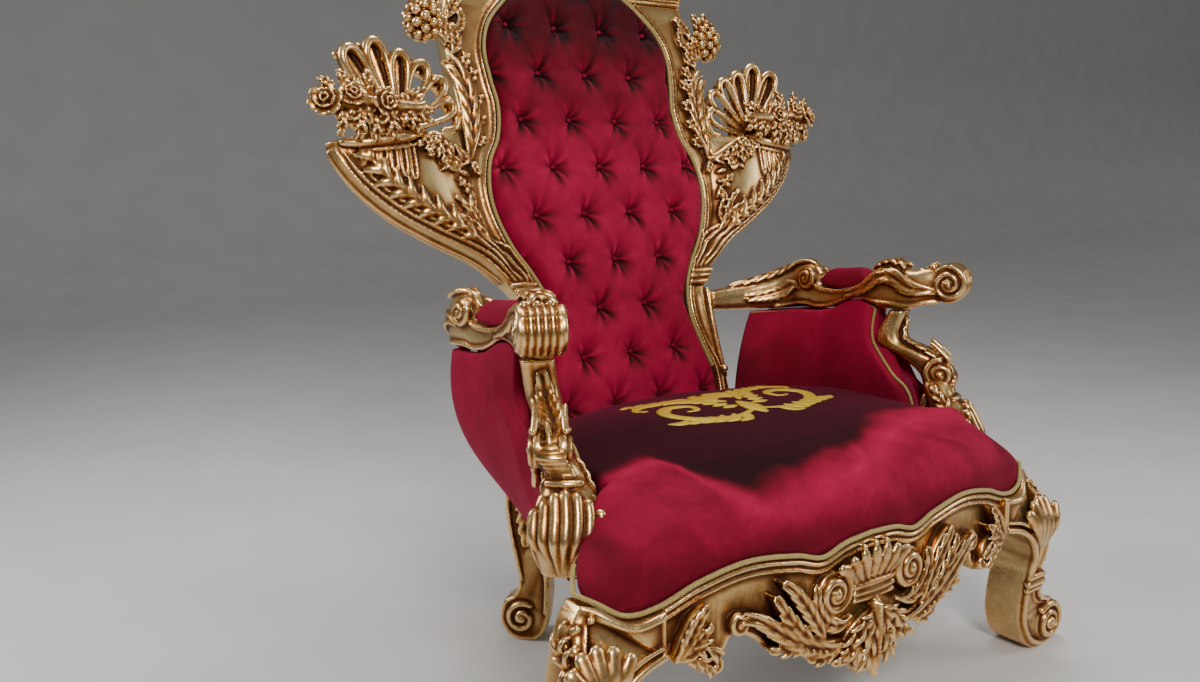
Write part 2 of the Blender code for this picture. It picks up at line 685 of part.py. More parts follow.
BACK_LEG_SHAPE = ((0.030, 0.3745), (0.040, 0.300), (0.040, 0.250), (0.024, 0.190), (0.018, 0.130),
                  (0.030, 0.098), (0.052, 0.080), (0.060, 0.045), (0.046, 0.014), (0.022, 0.000),
                  (-0.010, 0.000), (-0.034, 0.024), (-0.044, 0.075), (-0.046, 0.130), (-0.040, 0.180),
                  (-0.030, 0.220), (-0.034, 0.270), (-0.050, 0.300), (-0.050, 0.3745))


def back_leg(side):
    """A smaller scrolled leg, turned outward at the back corner."""
    outline = [Vector(point) for point in BACK_LEG_SHAPE]
    outline.reverse()
    turn = math.radians(45)

    def place(out, z, depth):
        across = depth - BACK_LEG_HALF_WIDTH
        return Vector((side * (BACK_LEG_X + out * math.cos(turn) - across * math.sin(turn)),
                       BACK_LEG_Y + out * math.sin(turn) + across * math.cos(turn), z))

    name = "back_leg_right" if side > 0 else "back_leg_left"
    piece = add_piece(name, plate(outline, place, 2 * BACK_LEG_HALF_WIDTH, 0.005), "gilt")
    outward = Vector((side * math.sin(turn), -math.cos(turn), 0))
    volutes = []
    for depth, way in ((0.0, outward), (2 * BACK_LEG_HALF_WIDTH, -outward)):
        def face(out, z):
            return place(out, z, depth) + 0.0005 * way
        path = spiral((0.014, 0.048), 0.032, 1.2, 2.2, -1, face, 7)
        volutes.append(ridge(path, (0.006, 0.005, 0.005), up=way))
    boolean(piece, volutes, "UNION")


def straight_rail(name, near, far, half_near, half_far, low, high):
    """A straight member between two plan points, cut at each end as half_near and half_far say."""
    rings = []
    for centre, half in ((near, half_near), (far, half_far)):
        left = Vector(centre) - Vector(half)
        right = Vector(centre) + Vector(half)
        rings.append([Vector((*left, low)), Vector((*right, low)), Vector((*right, high)),
                      Vector((*left, high))])
    add_piece(name, loft(rings), "gilt")


def seat_rails():
    """The side rails and the back rail, which the upholstery hides."""
    half = SIDE_RAIL_THICKNESS / 2
    for side, name in ((1, "side_rail_right"), (-1, "side_rail_left")):
        straight_rail(name, (side * 0.425, -0.300), (side * 0.205, 0.195), (side * half, 0.004),
                      (side * half, 0.0), RAIL_BOTTOM, RAIL_TOP)
    inner = BACK_LEG_X - 0.060
    straight_rail("back_rail", (-inner, 0.222), (inner, 0.222), (0.0, 0.060), (0.0, 0.060),
                  RAIL_BOTTOM, RAIL_TOP)


# Share of the way up to the arm's scroll, and a measure of the post there
POST_ACROSS = ((0.0, -0.013), (0.158, -0.010), (0.303, -0.024), (0.405, -0.031), (0.492, -0.019),
               (0.591, -0.041), (0.666, -0.058), (0.840, -0.044))
POST_Y = ((0.0, -0.258), (0.158, -0.268), (0.303, -0.252), (0.405, -0.228), (0.492, -0.214),
          (0.591, -0.180), (0.666, -0.134), (0.840, -0.1415))
POST_WIDTH = ((0.0, 0.036), (0.158, 0.047), (0.303, 0.040), (0.405, 0.028), (0.666, 0.025), (0.840, 0.027))
POST_DEPTH = ((0.0, 0.030), (0.158, 0.036), (0.303, 0.032), (0.405, 0.026), (0.492, 0.034),
              (0.591, 0.034), (0.666, 0.026), (0.840, 0.018))
POST_TURN = ((0.0, 38), (0.405, 38), (0.666, 22), (0.840, 20))   # degrees outward
POST_TOP_RISE = -0.0545      # top of the post against the arm's scroll
POST_TOP = 1 + POST_TOP_RISE / (ARM_HEIGHT - POST_FOOT)
POST_ROWS = (0.0, 0.080, 0.158, 0.303, 0.405, 0.450, 0.492, 0.540, 0.591, 0.666, POST_TOP)
VOLUTE_SHARE = 0.492


def post_point(side, share, across, out):
    """A point of the arm post: across from its middle line and out from it towards its face."""
    turn = math.radians(curve(POST_TURN, share))
    x = ARM_HALF_SPAN + curve(POST_ACROSS, share) + across * math.cos(turn) + out * math.sin(turn)
    y = curve(POST_Y, share) + across * math.sin(turn) - out * math.cos(turn)
    return Vector((side * x, y, POST_FOOT + (ARM_HEIGHT - POST_FOOT) * share))


def arm_post(side):
    """The carved support under the arm: a shell leaf below and a volute half way up."""
    sides = 8
    rings = []
    for share in POST_ROWS:
        width = curve(POST_WIDTH, share)
        depth = curve(POST_DEPTH, share)
        angles = [2 * math.pi * (k + 0.5) / sides for k in range(sides)]
        rings.append([post_point(side, share, width * math.cos(a), depth * math.sin(a)) for a in angles])
    name = "arm_post_right" if side > 0 else "arm_post_left"
    piece = add_piece(name, loft(rings), "gilt")
    ribs = []
    for k in range(-2, 3):
        crown = [post_point(side, share, spread * k, curve(POST_DEPTH, share) + lift)
                 for share, spread, lift in ((0.03, 0.007, -0.002), (0.158, 0.017, 0.002), (0.34, 0.010, 0.000))]
        ribs.append(ridge(crown, (0.007, 0.011, 0.008)))
    turn = math.radians(curve(POST_TURN, VOLUTE_SHARE))
    axis = Vector((side * math.cos(turn), math.sin(turn), 0))
    for face_side in (-1, 1):
        def face(out, height):
            return post_point(side, VOLUTE_SHARE, face_side * 0.026, out) + Vector((0, 0, height))
        ribs.append(ridge(spiral((0.005, 0.001), 0.024, 1.2, 1.5, 1, face, 6), (0.007, 0.006, 0.006), up=axis))
    boolean(piece, ribs, "UNION")


# Share of the way out to the scroll, depth, top and underside against the scroll's middle
ARM_PATH = ((0.000, 0.214, -0.034, -0.076), (0.168, 0.207, -0.030, -0.078), (0.420, 0.188, -0.022, -0.079),
            (0.620, 0.158, -0.006, -0.078), (0.735, 0.125, 0.014, -0.075), (0.762, 0.098, 0.022, -0.072),
            (0.762, 0.065, 0.018, -0.070), (0.757, 0.045, -0.012, -0.069), (0.750, 0.000, -0.022, -0.060),
            (0.750, -0.045, -0.017, -0.040), (0.758, -0.080, 0.002, -0.040), (0.768, -0.105, 0.030, -0.052),
            (0.790, -0.140, 0.038, -0.054), (0.822, -0.165, 0.025, -0.052), (0.880, -0.187, 0.030, -0.041),
            (0.945, -0.206, 0.034, -0.036))


def arm_line(y):
    """The arm at a depth: x of its middle, and the heights of its top and underside."""
    rows = ARM_PATH[::-1]
    share = curve([(row[1], row[0]) for row in rows], y)
    top = curve([(row[1], row[2]) for row in rows], y)
    under = curve([(row[1], row[3]) for row in rows], y)
    return ARM_BACK_X + (ARM_HALF_SPAN - ARM_BACK_X) * share, ARM_HEIGHT + top, ARM_HEIGHT + under


def scroll_point(side, across, ahead, rise):
    """A point of the rolled front of the arm, in the scroll's own directions."""
    x = ARM_HALF_SPAN + across * math.cos(SCROLL_TURN) + ahead * math.sin(SCROLL_TURN)
    y = SCROLL_DEPTH + across * math.sin(SCROLL_TURN) - ahead * math.cos(SCROLL_TURN)
    return Vector((side * x, y, ARM_HEIGHT + rise))


def arm_rail(side):
    """The arm from the back to its rolled front, with the leaf scroll and the flower block."""
    middles = []
    for row in ARM_PATH:
        x, top, under = arm_line(row[1])
        middles.append(Vector((x, row[1], 0)))
    middles.append(Vector((ARM_HALF_SPAN, SCROLL_DEPTH, 0)))
    section = ((1.0, 0), (0.55, 1), (-0.55, 1), (-1.0, 0), (-0.55, -1), (0.55, -1))
    rings = []
    for i, centre in enumerate(middles[:-1]):
        x, top, under = arm_line(centre.y)
        ahead = (middles[i + 1] - middles[max(i - 1, 0)]).normalized()
        across = Vector((-ahead.y, ahead.x, 0))
        width = ARM_HALF_WIDTH * (0.78 + 0.22 * min(1.0, i / 3))
        ring = []
        for reach, level in section:
            z = top if level > 0 else under if level < 0 else (top + under) / 2
            point = centre + across * reach * width
            ring.append(Vector((side * point.x, point.y, z)))
        rings.append(ring)
    for ahead in (0.0, 0.45, 0.75, 0.94):
        tall = ARM_SCROLL_RADIUS * math.sqrt(1 - ahead * ahead)
        rings.append([scroll_point(side, reach * SCROLL_HALF_WIDTH * (1.0 if level == 0 else 1.6),
                                   ahead * ARM_SCROLL_RADIUS, level * tall) for reach, level in section])
    name = "arm_rail_right" if side > 0 else "arm_rail_left"
    piece = add_piece(name, loft(rings), "gilt")
    axis = Vector((side * math.cos(SCROLL_TURN), math.sin(SCROLL_TURN), 0))
    ribs = []
    for k in (-1, 0, 1):
        arc = []
        for step in range(5):
            angle = math.radians(110 - 45 * step)
            arc.append(scroll_point(side, 0.0195 * k, ARM_SCROLL_RADIUS * math.cos(angle),
                                    ARM_SCROLL_RADIUS * math.sin(angle)))
        ribs.append(ridge(arc, (0.006, 0.008, 0.006), up=axis))
    for face_side in (-1, 1):
        def end_face(ahead, rise):
            return scroll_point(side, face_side * SCROLL_HALF_WIDTH, ahead, rise)
        ribs.append(ridge(spiral((0.001, 0.002), 0.025, 1.2, 1.5, -1, end_face, 6), (0.006, 0.005, 0.005),
                          up=axis))
    boolean(piece, ribs, "UNION")


def seat_cushion():
    """The sprung seat: wide in front of the arm posts and narrower between the arms."""
    front = -SEAT_MIDDLE_FRONT + 0.004
    neck = -SEAM_FRONT + CUSHION_WIDE_DEPTH
    back = 0.112
    centre_heights = ((front, -0.112), (-0.414, -0.080), (-0.390, -0.054), (neck, -0.032), (-0.200, -0.008),
                      (-0.050, 0.000), (back, -0.020))
    edge_heights = ((front, -0.124), (-0.400, -0.090), (neck, -0.076), (-0.264, -0.046), (-0.191, -0.028),
                    (-0.050, -0.022), (back, -0.034))
    half_widths = ((neck, CUSHION_INNER_HALF), (-0.1, CUSHION_INNER_HALF - 0.004), (0.06, 0.316),
                   (back, 0.196))
    columns = 8
    rings = []
    for y in (front, -0.418, -0.396, -0.368, neck - 0.002, neck + 0.002, -0.27, -0.18, -0.08, 0.02, back):
        wide = y < neck
        half = SEAT_HALF_WIDTH if wide else curve(half_widths, y)
        tops = []
        floors = []
        for i in range(columns + 1):
            u = -1 + 2 * i / columns
            x = half * u
            floor = cord_line(x) + CORD_RADIUS + CORD_GAP if wide else RAIL_TOP + 0.006
            edge = CUSHION_CROWN + curve(edge_heights, y)
            centre = CUSHION_CROWN + curve(centre_heights, y)
            bow = 0.030 * (x / SEAM_HALF_WIDTH) ** 2 * max(0.0, min(1.0, (neck - 0.03 - y) / 0.04))
            top = max(floor + 0.006, edge + (centre - edge) * (1 - abs(u) ** 3))
            tops.append(Vector((x, y + bow, top)))
            floors.append(Vector((x, y + bow, floor)))
        rings.append(tops + list(reversed(floors)))
    add_piece("seat_cushion", loft(rings, True), "velvet")


# Front edge of the arm's upholstery: height, depth
PAD_FRONT = ((0.440, -0.208), (0.480, -0.204), (0.515, -0.188), (0.545, -0.154), (0.579, -0.120),
             (0.605, -0.101), (0.665, -0.097))
COVER_FRONT = ((0.345, -0.234), (0.372, -0.230), (0.378, -0.220), (0.430, -0.214), (0.480, -0.200),
               (0.515, -0.178), (0.545, -0.150), (0.579, -0.096), (0.605, -0.090), (0.665, -0.098))
# Depth, distance of the padded inside from the arm's centre line
PAD_INSIDE = ((-0.205, 0.068), (-0.140, 0.031), (-0.100, 0.025), (0.000, 0.050), (0.060, 0.082),
              (0.140, 0.098), (0.180, 0.080))
ARM_CLOTH_BACK = 0.172
COVER_FOOT = RAIL_BOTTOM
COVER_SWELL = 0.018          # how far the outside cover is rounded out
SIDE_LINE = ((-0.365, 0.500), (-0.150, 0.440), (0.080, 0.350), (0.280, 0.220))


def arm_cloth_point(share, t, foot, front):
    """Depth, arm line and height of a point on the arm's upholstery, t of the way up from its foot."""
    guess = foot + (ARM_HEIGHT - 0.055 - foot) * t
    y = curve(front, guess) * (1 - share) + ARM_CLOTH_BACK * share
    x, top, under = arm_line(y)
    return x, y, foot + (under - CLOTH_CLEARANCE - foot) * t


def arm_pad_ring(share):
    """Both faces of the padded inside, share of the way from its front edge to its back edge."""
    inner = []
    outer = []
    for t in (0.0, 0.25, 0.5, 0.75, 1.0):
        x, y, z = arm_cloth_point(share, t, PAD_FOOT, PAD_FRONT)
        offset = curve(PAD_INSIDE, y)
        base = x - offset + 0.6 * (offset - 0.012) * t
        inner.append((base - 0.014 * math.sin(math.pi * t), y, z))
        outer.append((base + PAD_THICKNESS, y, z))
    return inner + outer[::-1]


def arm_cover_ring(share):
    """Both faces of the outside cover, which is rounded out behind the arm post."""
    outer = []
    for t in (0.0, 0.2, 0.45, 0.75, 1.0):
        x, y, z = arm_cloth_point(share, t, COVER_FOOT, COVER_FRONT)
        foot_x = curve(SIDE_LINE, y) - 0.030
        swell = COVER_SWELL * math.sin(math.pi * t) * min(1.0, 5 * share)
        outer.append((foot_x + (x + 0.026 - foot_x) * math.sin(0.5 * math.pi * t) ** 0.8 + swell, y, z))
    return outer + [(p[0] - COVER_THICKNESS, p[1], p[2]) for p in reversed(outer)]


def arm_upholstery(side):
    """The padded inside of the arm, its outside cover and the small pad on top."""
    word = "right" if side > 0 else "left"
    shares = (0.0, 0.2, 0.4, 0.6, 0.8, 1.0)
    for name, ring in (("arm_pad_inner_", arm_pad_ring), ("arm_cover_outer_", arm_cover_ring)):
        mesh = loft([[Vector((side * p[0], p[1], p[2])) for p in ring(share)] for share in shares], True)
        add_piece(name + word, mesh, "velvet")
    top_rings = []
    for y, puff in ((0.036, 0.5), (0.000, 0.9), (-0.045, 0.9), (-0.075, 0.5)):
        x, top, under = arm_line(y)
        base = top + CLOTH_CLEARANCE
        top_rings.append([Vector((side * (x + across), y, base + TOP_PAD_PUFF * up * puff)) for across, up in
                          ((-0.014, 0.0), (-0.019, 0.5), (0.0, 1.0), (0.019, 0.5), (0.014, 0.0))])
    add_piece("arm_top_pad_" + word, loft(top_rings), "velvet")


def cord(name, points):
    """A gimp cord along a route."""
    data = bpy.data.curves.new(name, "CURVE")
    data.dimensions = "3D"
    spline = data.splines.new("POLY")
    spline.points.add(len(points) - 1)
    for item, point in zip(spline.points, points):
        item.co = (*point, 1.0)
    data.bevel_depth = CORD_RADIUS
    data.bevel_resolution = 0
    data.use_fill_caps = True
    piece = bpy.data.objects.new(name, data)
    data.materials.append(material(name, "gimp"))
    PARTS.objects.link(piece)
    piece.parent = ROOT


def cords():
    """The cords along the seat's front and around the tufted back."""
    front = []
    count = 26
    for i in range(count + 1):
        x = -SEAT_HALF_WIDTH + 2 * SEAT_HALF_WIDTH * i / count
        corner = max(0.0, abs(x) / SEAT_HALF_WIDTH - 0.93) / 0.07
        front.append(Vector((x, seat_front(x) - 0.003 + 0.012 * corner, cord_line(x))))
    cord("seat_cord", front)
    offset = CORD_RADIUS + CORD_GAP
    side = [(panel_half(height) + offset, height) for height in FRAME_ROWS + CREST_ROWS]
    arch = [(x, panel_arch(x) + offset) for x in (0.125, 0.105, 0.08, 0.055, 0.03, 0.0)]
    right = [on_back(x, h, 0.001) for x, h in side + arch]
    left = [Vector((-p.x, p.y, p.z)) for p in reversed(right[:-1])]
    cord("back_cord", right + left)


def settle():
    """Put the origin under the middle of the throne, on the floor."""
    bpy.context.view_layer.update()
    graph = bpy.context.evaluated_depsgraph_get()
    lows = []
    highs = []
    for piece in PARTS.objects:
        if piece.type == "EMPTY":
            continue
        mesh = piece.evaluated_get(graph).to_mesh()
        values = [(piece.matrix_world @ v.co) for v in mesh.vertices]
        lows.append([min(v[k] for v in values) for k in range(3)])
        highs.append([max(v[k] for v in values) for k in range(3)])
    low = [min(v[k] for v in lows) for k in range(3)]
    high = [max(v[k] for v in highs) for k in range(3)]
    ROOT.location = (-(low[0] + high[0]) / 2, -(low[1] + high[1]) / 2, -low[2])


def build():
    front_rail()
    seat_rails()
    for side in (1, -1):
        front_leg(side)
        back_leg(side)
        arm_post(side)
        arm_rail(side)
        wing(side)
        shell_fan(side)
        flower_cluster(side)
        grape_cluster(side)
        arm_upholstery(side)
    crest_rail()
    seat_cushion()
    back_panel_front()
    back_panel_rear()
    cords()
    settle()


build()
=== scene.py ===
"""The looks of a carved, gilded throne with crimson velvet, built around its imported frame."""
import math

import bmesh
import bpy
import numpy as np
from mathutils import Euler, Matrix


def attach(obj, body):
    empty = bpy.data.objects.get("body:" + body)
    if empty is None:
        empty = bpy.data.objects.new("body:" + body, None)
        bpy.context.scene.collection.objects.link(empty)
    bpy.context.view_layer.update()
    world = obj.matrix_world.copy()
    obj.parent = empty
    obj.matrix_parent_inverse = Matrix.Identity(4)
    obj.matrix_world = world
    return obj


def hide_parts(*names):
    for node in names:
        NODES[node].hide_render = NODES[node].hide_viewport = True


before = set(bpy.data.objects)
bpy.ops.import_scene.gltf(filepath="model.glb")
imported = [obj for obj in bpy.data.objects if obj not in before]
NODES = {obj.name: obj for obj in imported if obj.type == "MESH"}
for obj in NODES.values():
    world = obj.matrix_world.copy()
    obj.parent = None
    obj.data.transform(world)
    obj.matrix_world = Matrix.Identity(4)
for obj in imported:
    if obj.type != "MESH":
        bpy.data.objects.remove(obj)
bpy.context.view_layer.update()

SHIFT_Y = -0.0208    # moves measured depths into the frame

VOXEL = 0.0019
UP = np.array((0.0, 0.0, 1.0))
FORWARD = np.array((0.0, -1.0, 0.0))


# Plain geometry

def unit(vectors):
    length = np.linalg.norm(vectors, axis=-1, keepdims=True)
    return vectors / np.maximum(length, 1e-12)


def curve(table, value):
    """A smooth curve through a table of (place, height) pairs, for a number or an array."""
    table = np.asarray(table, float)
    x, y = table[:, 0], table[:, 1]
    value = np.clip(np.asarray(value, float), x[0], x[-1])
    i = np.clip(np.searchsorted(x, value, side="right") - 1, 0, len(x) - 2)
    before = np.maximum(i - 1, 0)
    after = np.minimum(i + 2, len(x) - 1)
    width = x[i + 1] - x[i]
    slope0 = (y[i + 1] - y[before]) / (x[i + 1] - x[before]) * width
    slope1 = (y[after] - y[i]) / (x[after] - x[i]) * width
    t = (value - x[i]) / width
    return ((2 * t ** 3 - 3 * t ** 2 + 1) * y[i] + (t ** 3 - 2 * t ** 2 + t) * slope0
            + (3 * t ** 2 - 2 * t ** 3) * y[i + 1] + (t ** 3 - t ** 2) * slope1)


def spline(points, steps=8, closed=False):
    """Points along a smooth curve through the given ones, in any number of dimensions."""
    p = np.asarray(points, float)
    count = len(p)
    t = (np.arange(steps) / steps)[:, None]
    pieces = []
    for i in range(count if closed else count - 1):
        p1, p2 = p[i], p[(i + 1) % count]
        p0 = p[i - 1] if closed or i > 0 else p1
        p3 = p[(i + 2) % count] if closed or i + 2 < count else p2
        pieces.append(0.5 * (2 * p1 + (p2 - p0) * t + (2 * p0 - 5 * p1 + 4 * p2 - p3) * t * t
                             + (3 * p1 - p0 - 3 * p2 + p3) * t ** 3))
    if not closed:
        pieces.append(p[-1][None])
    return np.concatenate(pieces)


def even(path, count):
    """The same path with evenly spaced points."""
    path = np.asarray(path, float)
    reach = np.concatenate(([0.0], np.cumsum(np.linalg.norm(np.diff(path, axis=0), axis=1))))
    at = np.linspace(0, reach[-1], count)
    return np.stack([np.interp(at, reach, path[:, k]) for k in range(path.shape[1])], 1)


def along(values, t):
    return np.interp(t, np.linspace(0, 1, len(values)), values)


class Clay:
    """Closed shapes that are later pressed together into one carved piece."""

    def __init__(self):
        self.points = []
        self.faces = []
        self.count = 0

    def add(self, points, faces):
        points = np.asarray(points, float)
        for face in faces:
            self.faces.append([i + self.count for i in face])
        self.points.append(points)
        self.count += len(points)

    def loft(self, rings):
        rings = np.asarray(rings, float)
        n, m = rings.shape[:2]
        i = np.arange(n - 1)[:, None] * m
        k = np.arange(m)[None, :]
        k2 = (k + 1) % m
        quads = np.stack([i + k, i + k2, i + m + k2, i + m + k], -1).reshape(-1, 4).tolist()
        quads.append(list(range(m))[::-1])
        quads.append(list(range((n - 1) * m, n * m)))
        self.add(rings.reshape(-1, 3), quads)

    def mesh(self, name):
        mesh = bpy.data.meshes.new(name)
        mesh.from_pydata(np.concatenate(self.points).tolist(), [], self.faces)
        mesh.update()
        return mesh


def tube(clay, path, radii, up=FORWARD, sides=8, flat=1.0, rounded=True):
    """A rib along a path. radii run from one end to the other; flat squeezes it against the surface."""
    path = np.asarray(path, float)
    t = np.linspace(0, 1, len(path))
    ahead = unit(np.gradient(path, axis=0))
    lift_way = np.broadcast_to(up, path.shape)
    side = unit(np.cross(ahead, lift_way))
    lift = np.cross(side, ahead)
    radius = along(radii, t)
    angle = 2 * math.pi * np.arange(sides) / sides
    circle = (np.cos(angle)[None, :, None] * side[:, None]
              + flat * np.sin(angle)[None, :, None] * lift[:, None])
    rings = path[:, None] + radius[:, None, None] * circle
    if rounded:
        head = path[0] - ahead[0] * radius[0] * 0.6 + radius[0] * 0.55 * circle[0]
        tail = path[-1] + ahead[-1] * radius[-1] * 0.6 + radius[-1] * 0.55 * circle[-1]
        rings = np.concatenate([head[None], rings, tail[None]])
    clay.loft(rings)


def blob(clay, centre, radius, axes=None, segments=10, rows=6):
    """A ball, or an egg when axes (three scaled vectors) are given."""
    polar = np.linspace(0.12, math.pi - 0.12, rows)
    turn = 2 * math.pi * np.arange(segments) / segments
    x = np.sin(polar)[:, None] * np.cos(turn)[None]
    y = np.sin(polar)[:, None] * np.sin(turn)[None]
    z = np.broadcast_to(np.cos(polar)[:, None], x.shape)
    points = np.stack([x, y, z], -1)
    if axes is None:
        points = points * radius
    else:
        points = points @ np.asarray(axes, float) * radius
    clay.loft(points + np.asarray(centre, float))


def leaf(clay, path, widths, normal=FORWARD, thick=0.005, lobes=5, sink=0.006, curl=0.0):
    """An acanthus leaf along a path: long ribs leave its spine one after another and sweep outward."""
    path = even(path, 40)
    t = np.linspace(0, 1, 40)
    ahead = unit(np.gradient(path, axis=0))
    out = unit(np.broadcast_to(normal, path.shape).astype(float))
    side = unit(np.cross(ahead, out))
    out = np.cross(side, ahead)
    base = along(widths, t)
    if lobes <= 2:
        tube(clay, path + out * 0.15 * thick, base, up=out, sides=12,
             flat=min(0.8, 0.8 * thick / max(widths)))
        return

    def field(values, places):
        return np.stack([np.interp(places, t, column) for column in values.T], 1)

    u = np.linspace(-1, 1, 7)
    end = np.sqrt(np.clip((1 - t) / 0.12, 0.04, 1))[:, None]
    height = thick * (0.30 - 0.35 * u[None] ** 2) * (0.4 + 0.6 * end)
    sheet = 0.80 * base[:, None] * end
    top = path[:, None] + side[:, None] * (u[None] * sheet)[..., None] + out[:, None] * height[..., None]
    under_u = np.array((0.9, 0.0, -0.9))
    floor = path[:, None] + side[:, None] * (under_u[None] * sheet)[..., None] - out[:, None] * sink
    clay.loft(np.concatenate([top, floor], 1))
    q = np.linspace(0, 1, 9)
    count = max(3, min(6, lobes))
    for k in range(count):
        places = 0.60 * k / (count - 1) + 0.38 * q
        width = np.interp(places, t, base)
        size = 0.25 * float(width.max()) + 0.0008
        lift = thick * (0.25 + 0.70 * np.sin(0.85 * math.pi * q)) + 0.4 * curl * thick * q ** 3
        way_out = field(out, places)
        for sense in (-1, 1):
            lateral = sense * width * (0.10 + 1.02 * q ** 1.5)
            rib = field(path, places) + field(side, places) * lateral[:, None] + way_out * lift[:, None]
            tube(clay, rib, (0.45 * size, 0.8 * size, size, 1.1 * size, 1.05 * size, 0.6 * size),
                 up=way_out, sides=8, flat=0.75)
    spine = path + out * 0.40 * thick
    tube(clay, spine[::3], (0.20 * widths[0] + 0.001, 0.0032, 0.0030, 0.0024, 0.0016), up=out[::3], sides=6)


def volute(clay, centre, radius, turns, start, sense, place, rib=0.006, end_rib=0.004, shrink=0.16,
           eye=0.3, up=FORWARD, dish=True, flat=1.0):
    """A spiral rib with a button in its eye. place turns two coordinates and a lift into a point."""
    count = int(26 * turns) + 4
    t = np.linspace(0, 1, count)
    angle = start + sense * turns * 2 * math.pi * t
    reach = radius * (1 - (1 - shrink) * t ** 0.85)
    path = np.array([place(centre[0] + r * math.cos(a), centre[1] + r * math.sin(a), 0.004 * s)
                     for r, a, s in zip(reach, angle, t)])
    tube(clay, path, (rib, 0.9 * rib, end_rib), up=up, sides=8, flat=flat)
    blob(clay, place(centre[0], centre[1], 0.003), radius * eye)
    if dish:
        ring = 2 * math.pi * np.arange(20) / 20
        rings = []
        for share, lift in ((0.98, -0.012), (0.98, -0.002), (0.5, 0.0005), (0.1, 0.001)):
            rings.append([place(centre[0] + radius * share * math.cos(a),
                                centre[1] + radius * share * math.sin(a), lift) for a in ring])
        clay.loft(rings)


def rose(clay, centre, normal, radius, turn=0.0):
    """A rose of three rings of petals around a bud."""
    normal = unit(np.asarray(normal, float))
    side = unit(np.cross(normal, UP + 0.01))
    top = np.cross(side, normal)
    centre = np.asarray(centre, float)
    blob(clay, centre - normal * radius * 0.35, radius * 0.72)
    for count, reach, tilt, size, height in ((6, 0.66, 0.45, 0.50, 0.05), (5, 0.42, 0.9, 0.40, 0.28),
                                             (3, 0.17, 1.25, 0.27, 0.46)):
        for k in range(count):
            angle = turn + 2 * math.pi * (k + 0.5 * (count % 2)) / count
            away = math.cos(angle) * side + math.sin(angle) * top
            across = math.cos(angle) * top - math.sin(angle) * side
            stand = math.cos(tilt) * away + math.sin(tilt) * normal
            face = math.sin(tilt) * away - math.cos(tilt) * normal
            place = centre + away * reach * radius + normal * height * radius
            blob(clay, place, size * radius, np.array((across, stand * 0.95, face * 0.30)), 8, 5)


def small_flower(clay, centre, normal, radius, petals=5):
    normal = unit(np.asarray(normal, float))
    side = unit(np.cross(normal, UP + 0.01))
    top = np.cross(side, normal)
    centre = np.asarray(centre, float)
    for k in range(petals):
        angle = 2 * math.pi * k / petals
        away = math.cos(angle) * side + math.sin(angle) * top
        across = np.cross(normal, away)
        blob(clay, centre + away * radius * 0.62, radius * 0.42,
             np.array((across * 0.95, away, normal * 0.5)), 8, 5)
    blob(clay, centre + normal * radius * 0.15, radius * 0.30)


def grapes(clay, centre, normal, radius, berry, down=-UP, rows=4):
    """A bunch of berries on a dome that tapers downward."""
    normal = unit(np.asarray(normal, float))
    centre = np.asarray(centre, float)
    down = unit(down - normal * float(np.dot(down, normal)))
    side = np.cross(normal, down)
    blob(clay, centre - normal * 0.2 * radius, radius * 0.8)
    for ring, (tilt, count) in enumerate(((0.0, 1), (0.62, 6), (1.18, 11), (1.62, 13))):
        if ring >= rows:
            break
        for k in range(count):
            angle = 2 * math.pi * (k + 0.5 * ring) / count
            away = math.cos(angle) * side + math.sin(angle) * down
            place = centre + radius * (math.cos(tilt) * normal + math.sin(tilt) * away)
            place = place + down * 0.12 * radius * math.sin(angle)
            blob(clay, place, berry * (1.0 + 0.08 * math.sin(7 * k + 3 * ring)), None, 8, 5)


# The throne's measured lines, the same as its solids follow

GAP = 0.0005
CORD_GAP = 0.0012
CORD_RADIUS = 0.004
LEAN_HEIGHT = 0.500
BACK_AT_LEAN_HEIGHT = 0.168
BACK_LEAN = math.radians(15.1)
BOARD_THICKNESS = 0.046
PANEL_HALF_WIDTH = 0.258
PANEL_TOP = 1.335
PANEL_FOOT = 0.470
PANEL_PAD_BACK = -0.024
TUFT_PITCH = 0.113
TUFT_ROW = 0.0925
TUFT_TOP_ROW = 1.230
WING_TOP = 1.298
CREST_TOP = 1.600
RAIL_TOP = 0.375
RAIL_BOTTOM = 0.345
SEAT_MIDDLE_FRONT = 0.430
SEAM_HALF_WIDTH = 0.392
SEAM_FRONT = 0.400
SEAT_HALF_WIDTH = 0.500
RAIL_THICKNESS = 0.042
LEG_DEPTH = 0.082
LEG_FRONT = 0.387
KNEE_FORWARD = 0.030
BACK_LEG_X = 0.205
BACK_LEG_Y = 0.262
ARM_HEIGHT = 0.720
ARM_SCROLL_RADIUS = 0.036
SCROLL_HALF_WIDTH = 0.031
SCROLL_DEPTH = -0.223
SCROLL_TURN = math.radians(25)
ARM_HALF_WIDTH = 0.028
ARM_HALF_SPAN = 0.468
ARM_BACK_X = 0.2295
POST_FOOT = RAIL_TOP + GAP

BACK_NORMAL = np.array((0.0, -math.cos(BACK_LEAN), math.sin(BACK_LEAN)))
BACK_UP = np.array((0.0, math.sin(BACK_LEAN), math.cos(BACK_LEAN)))

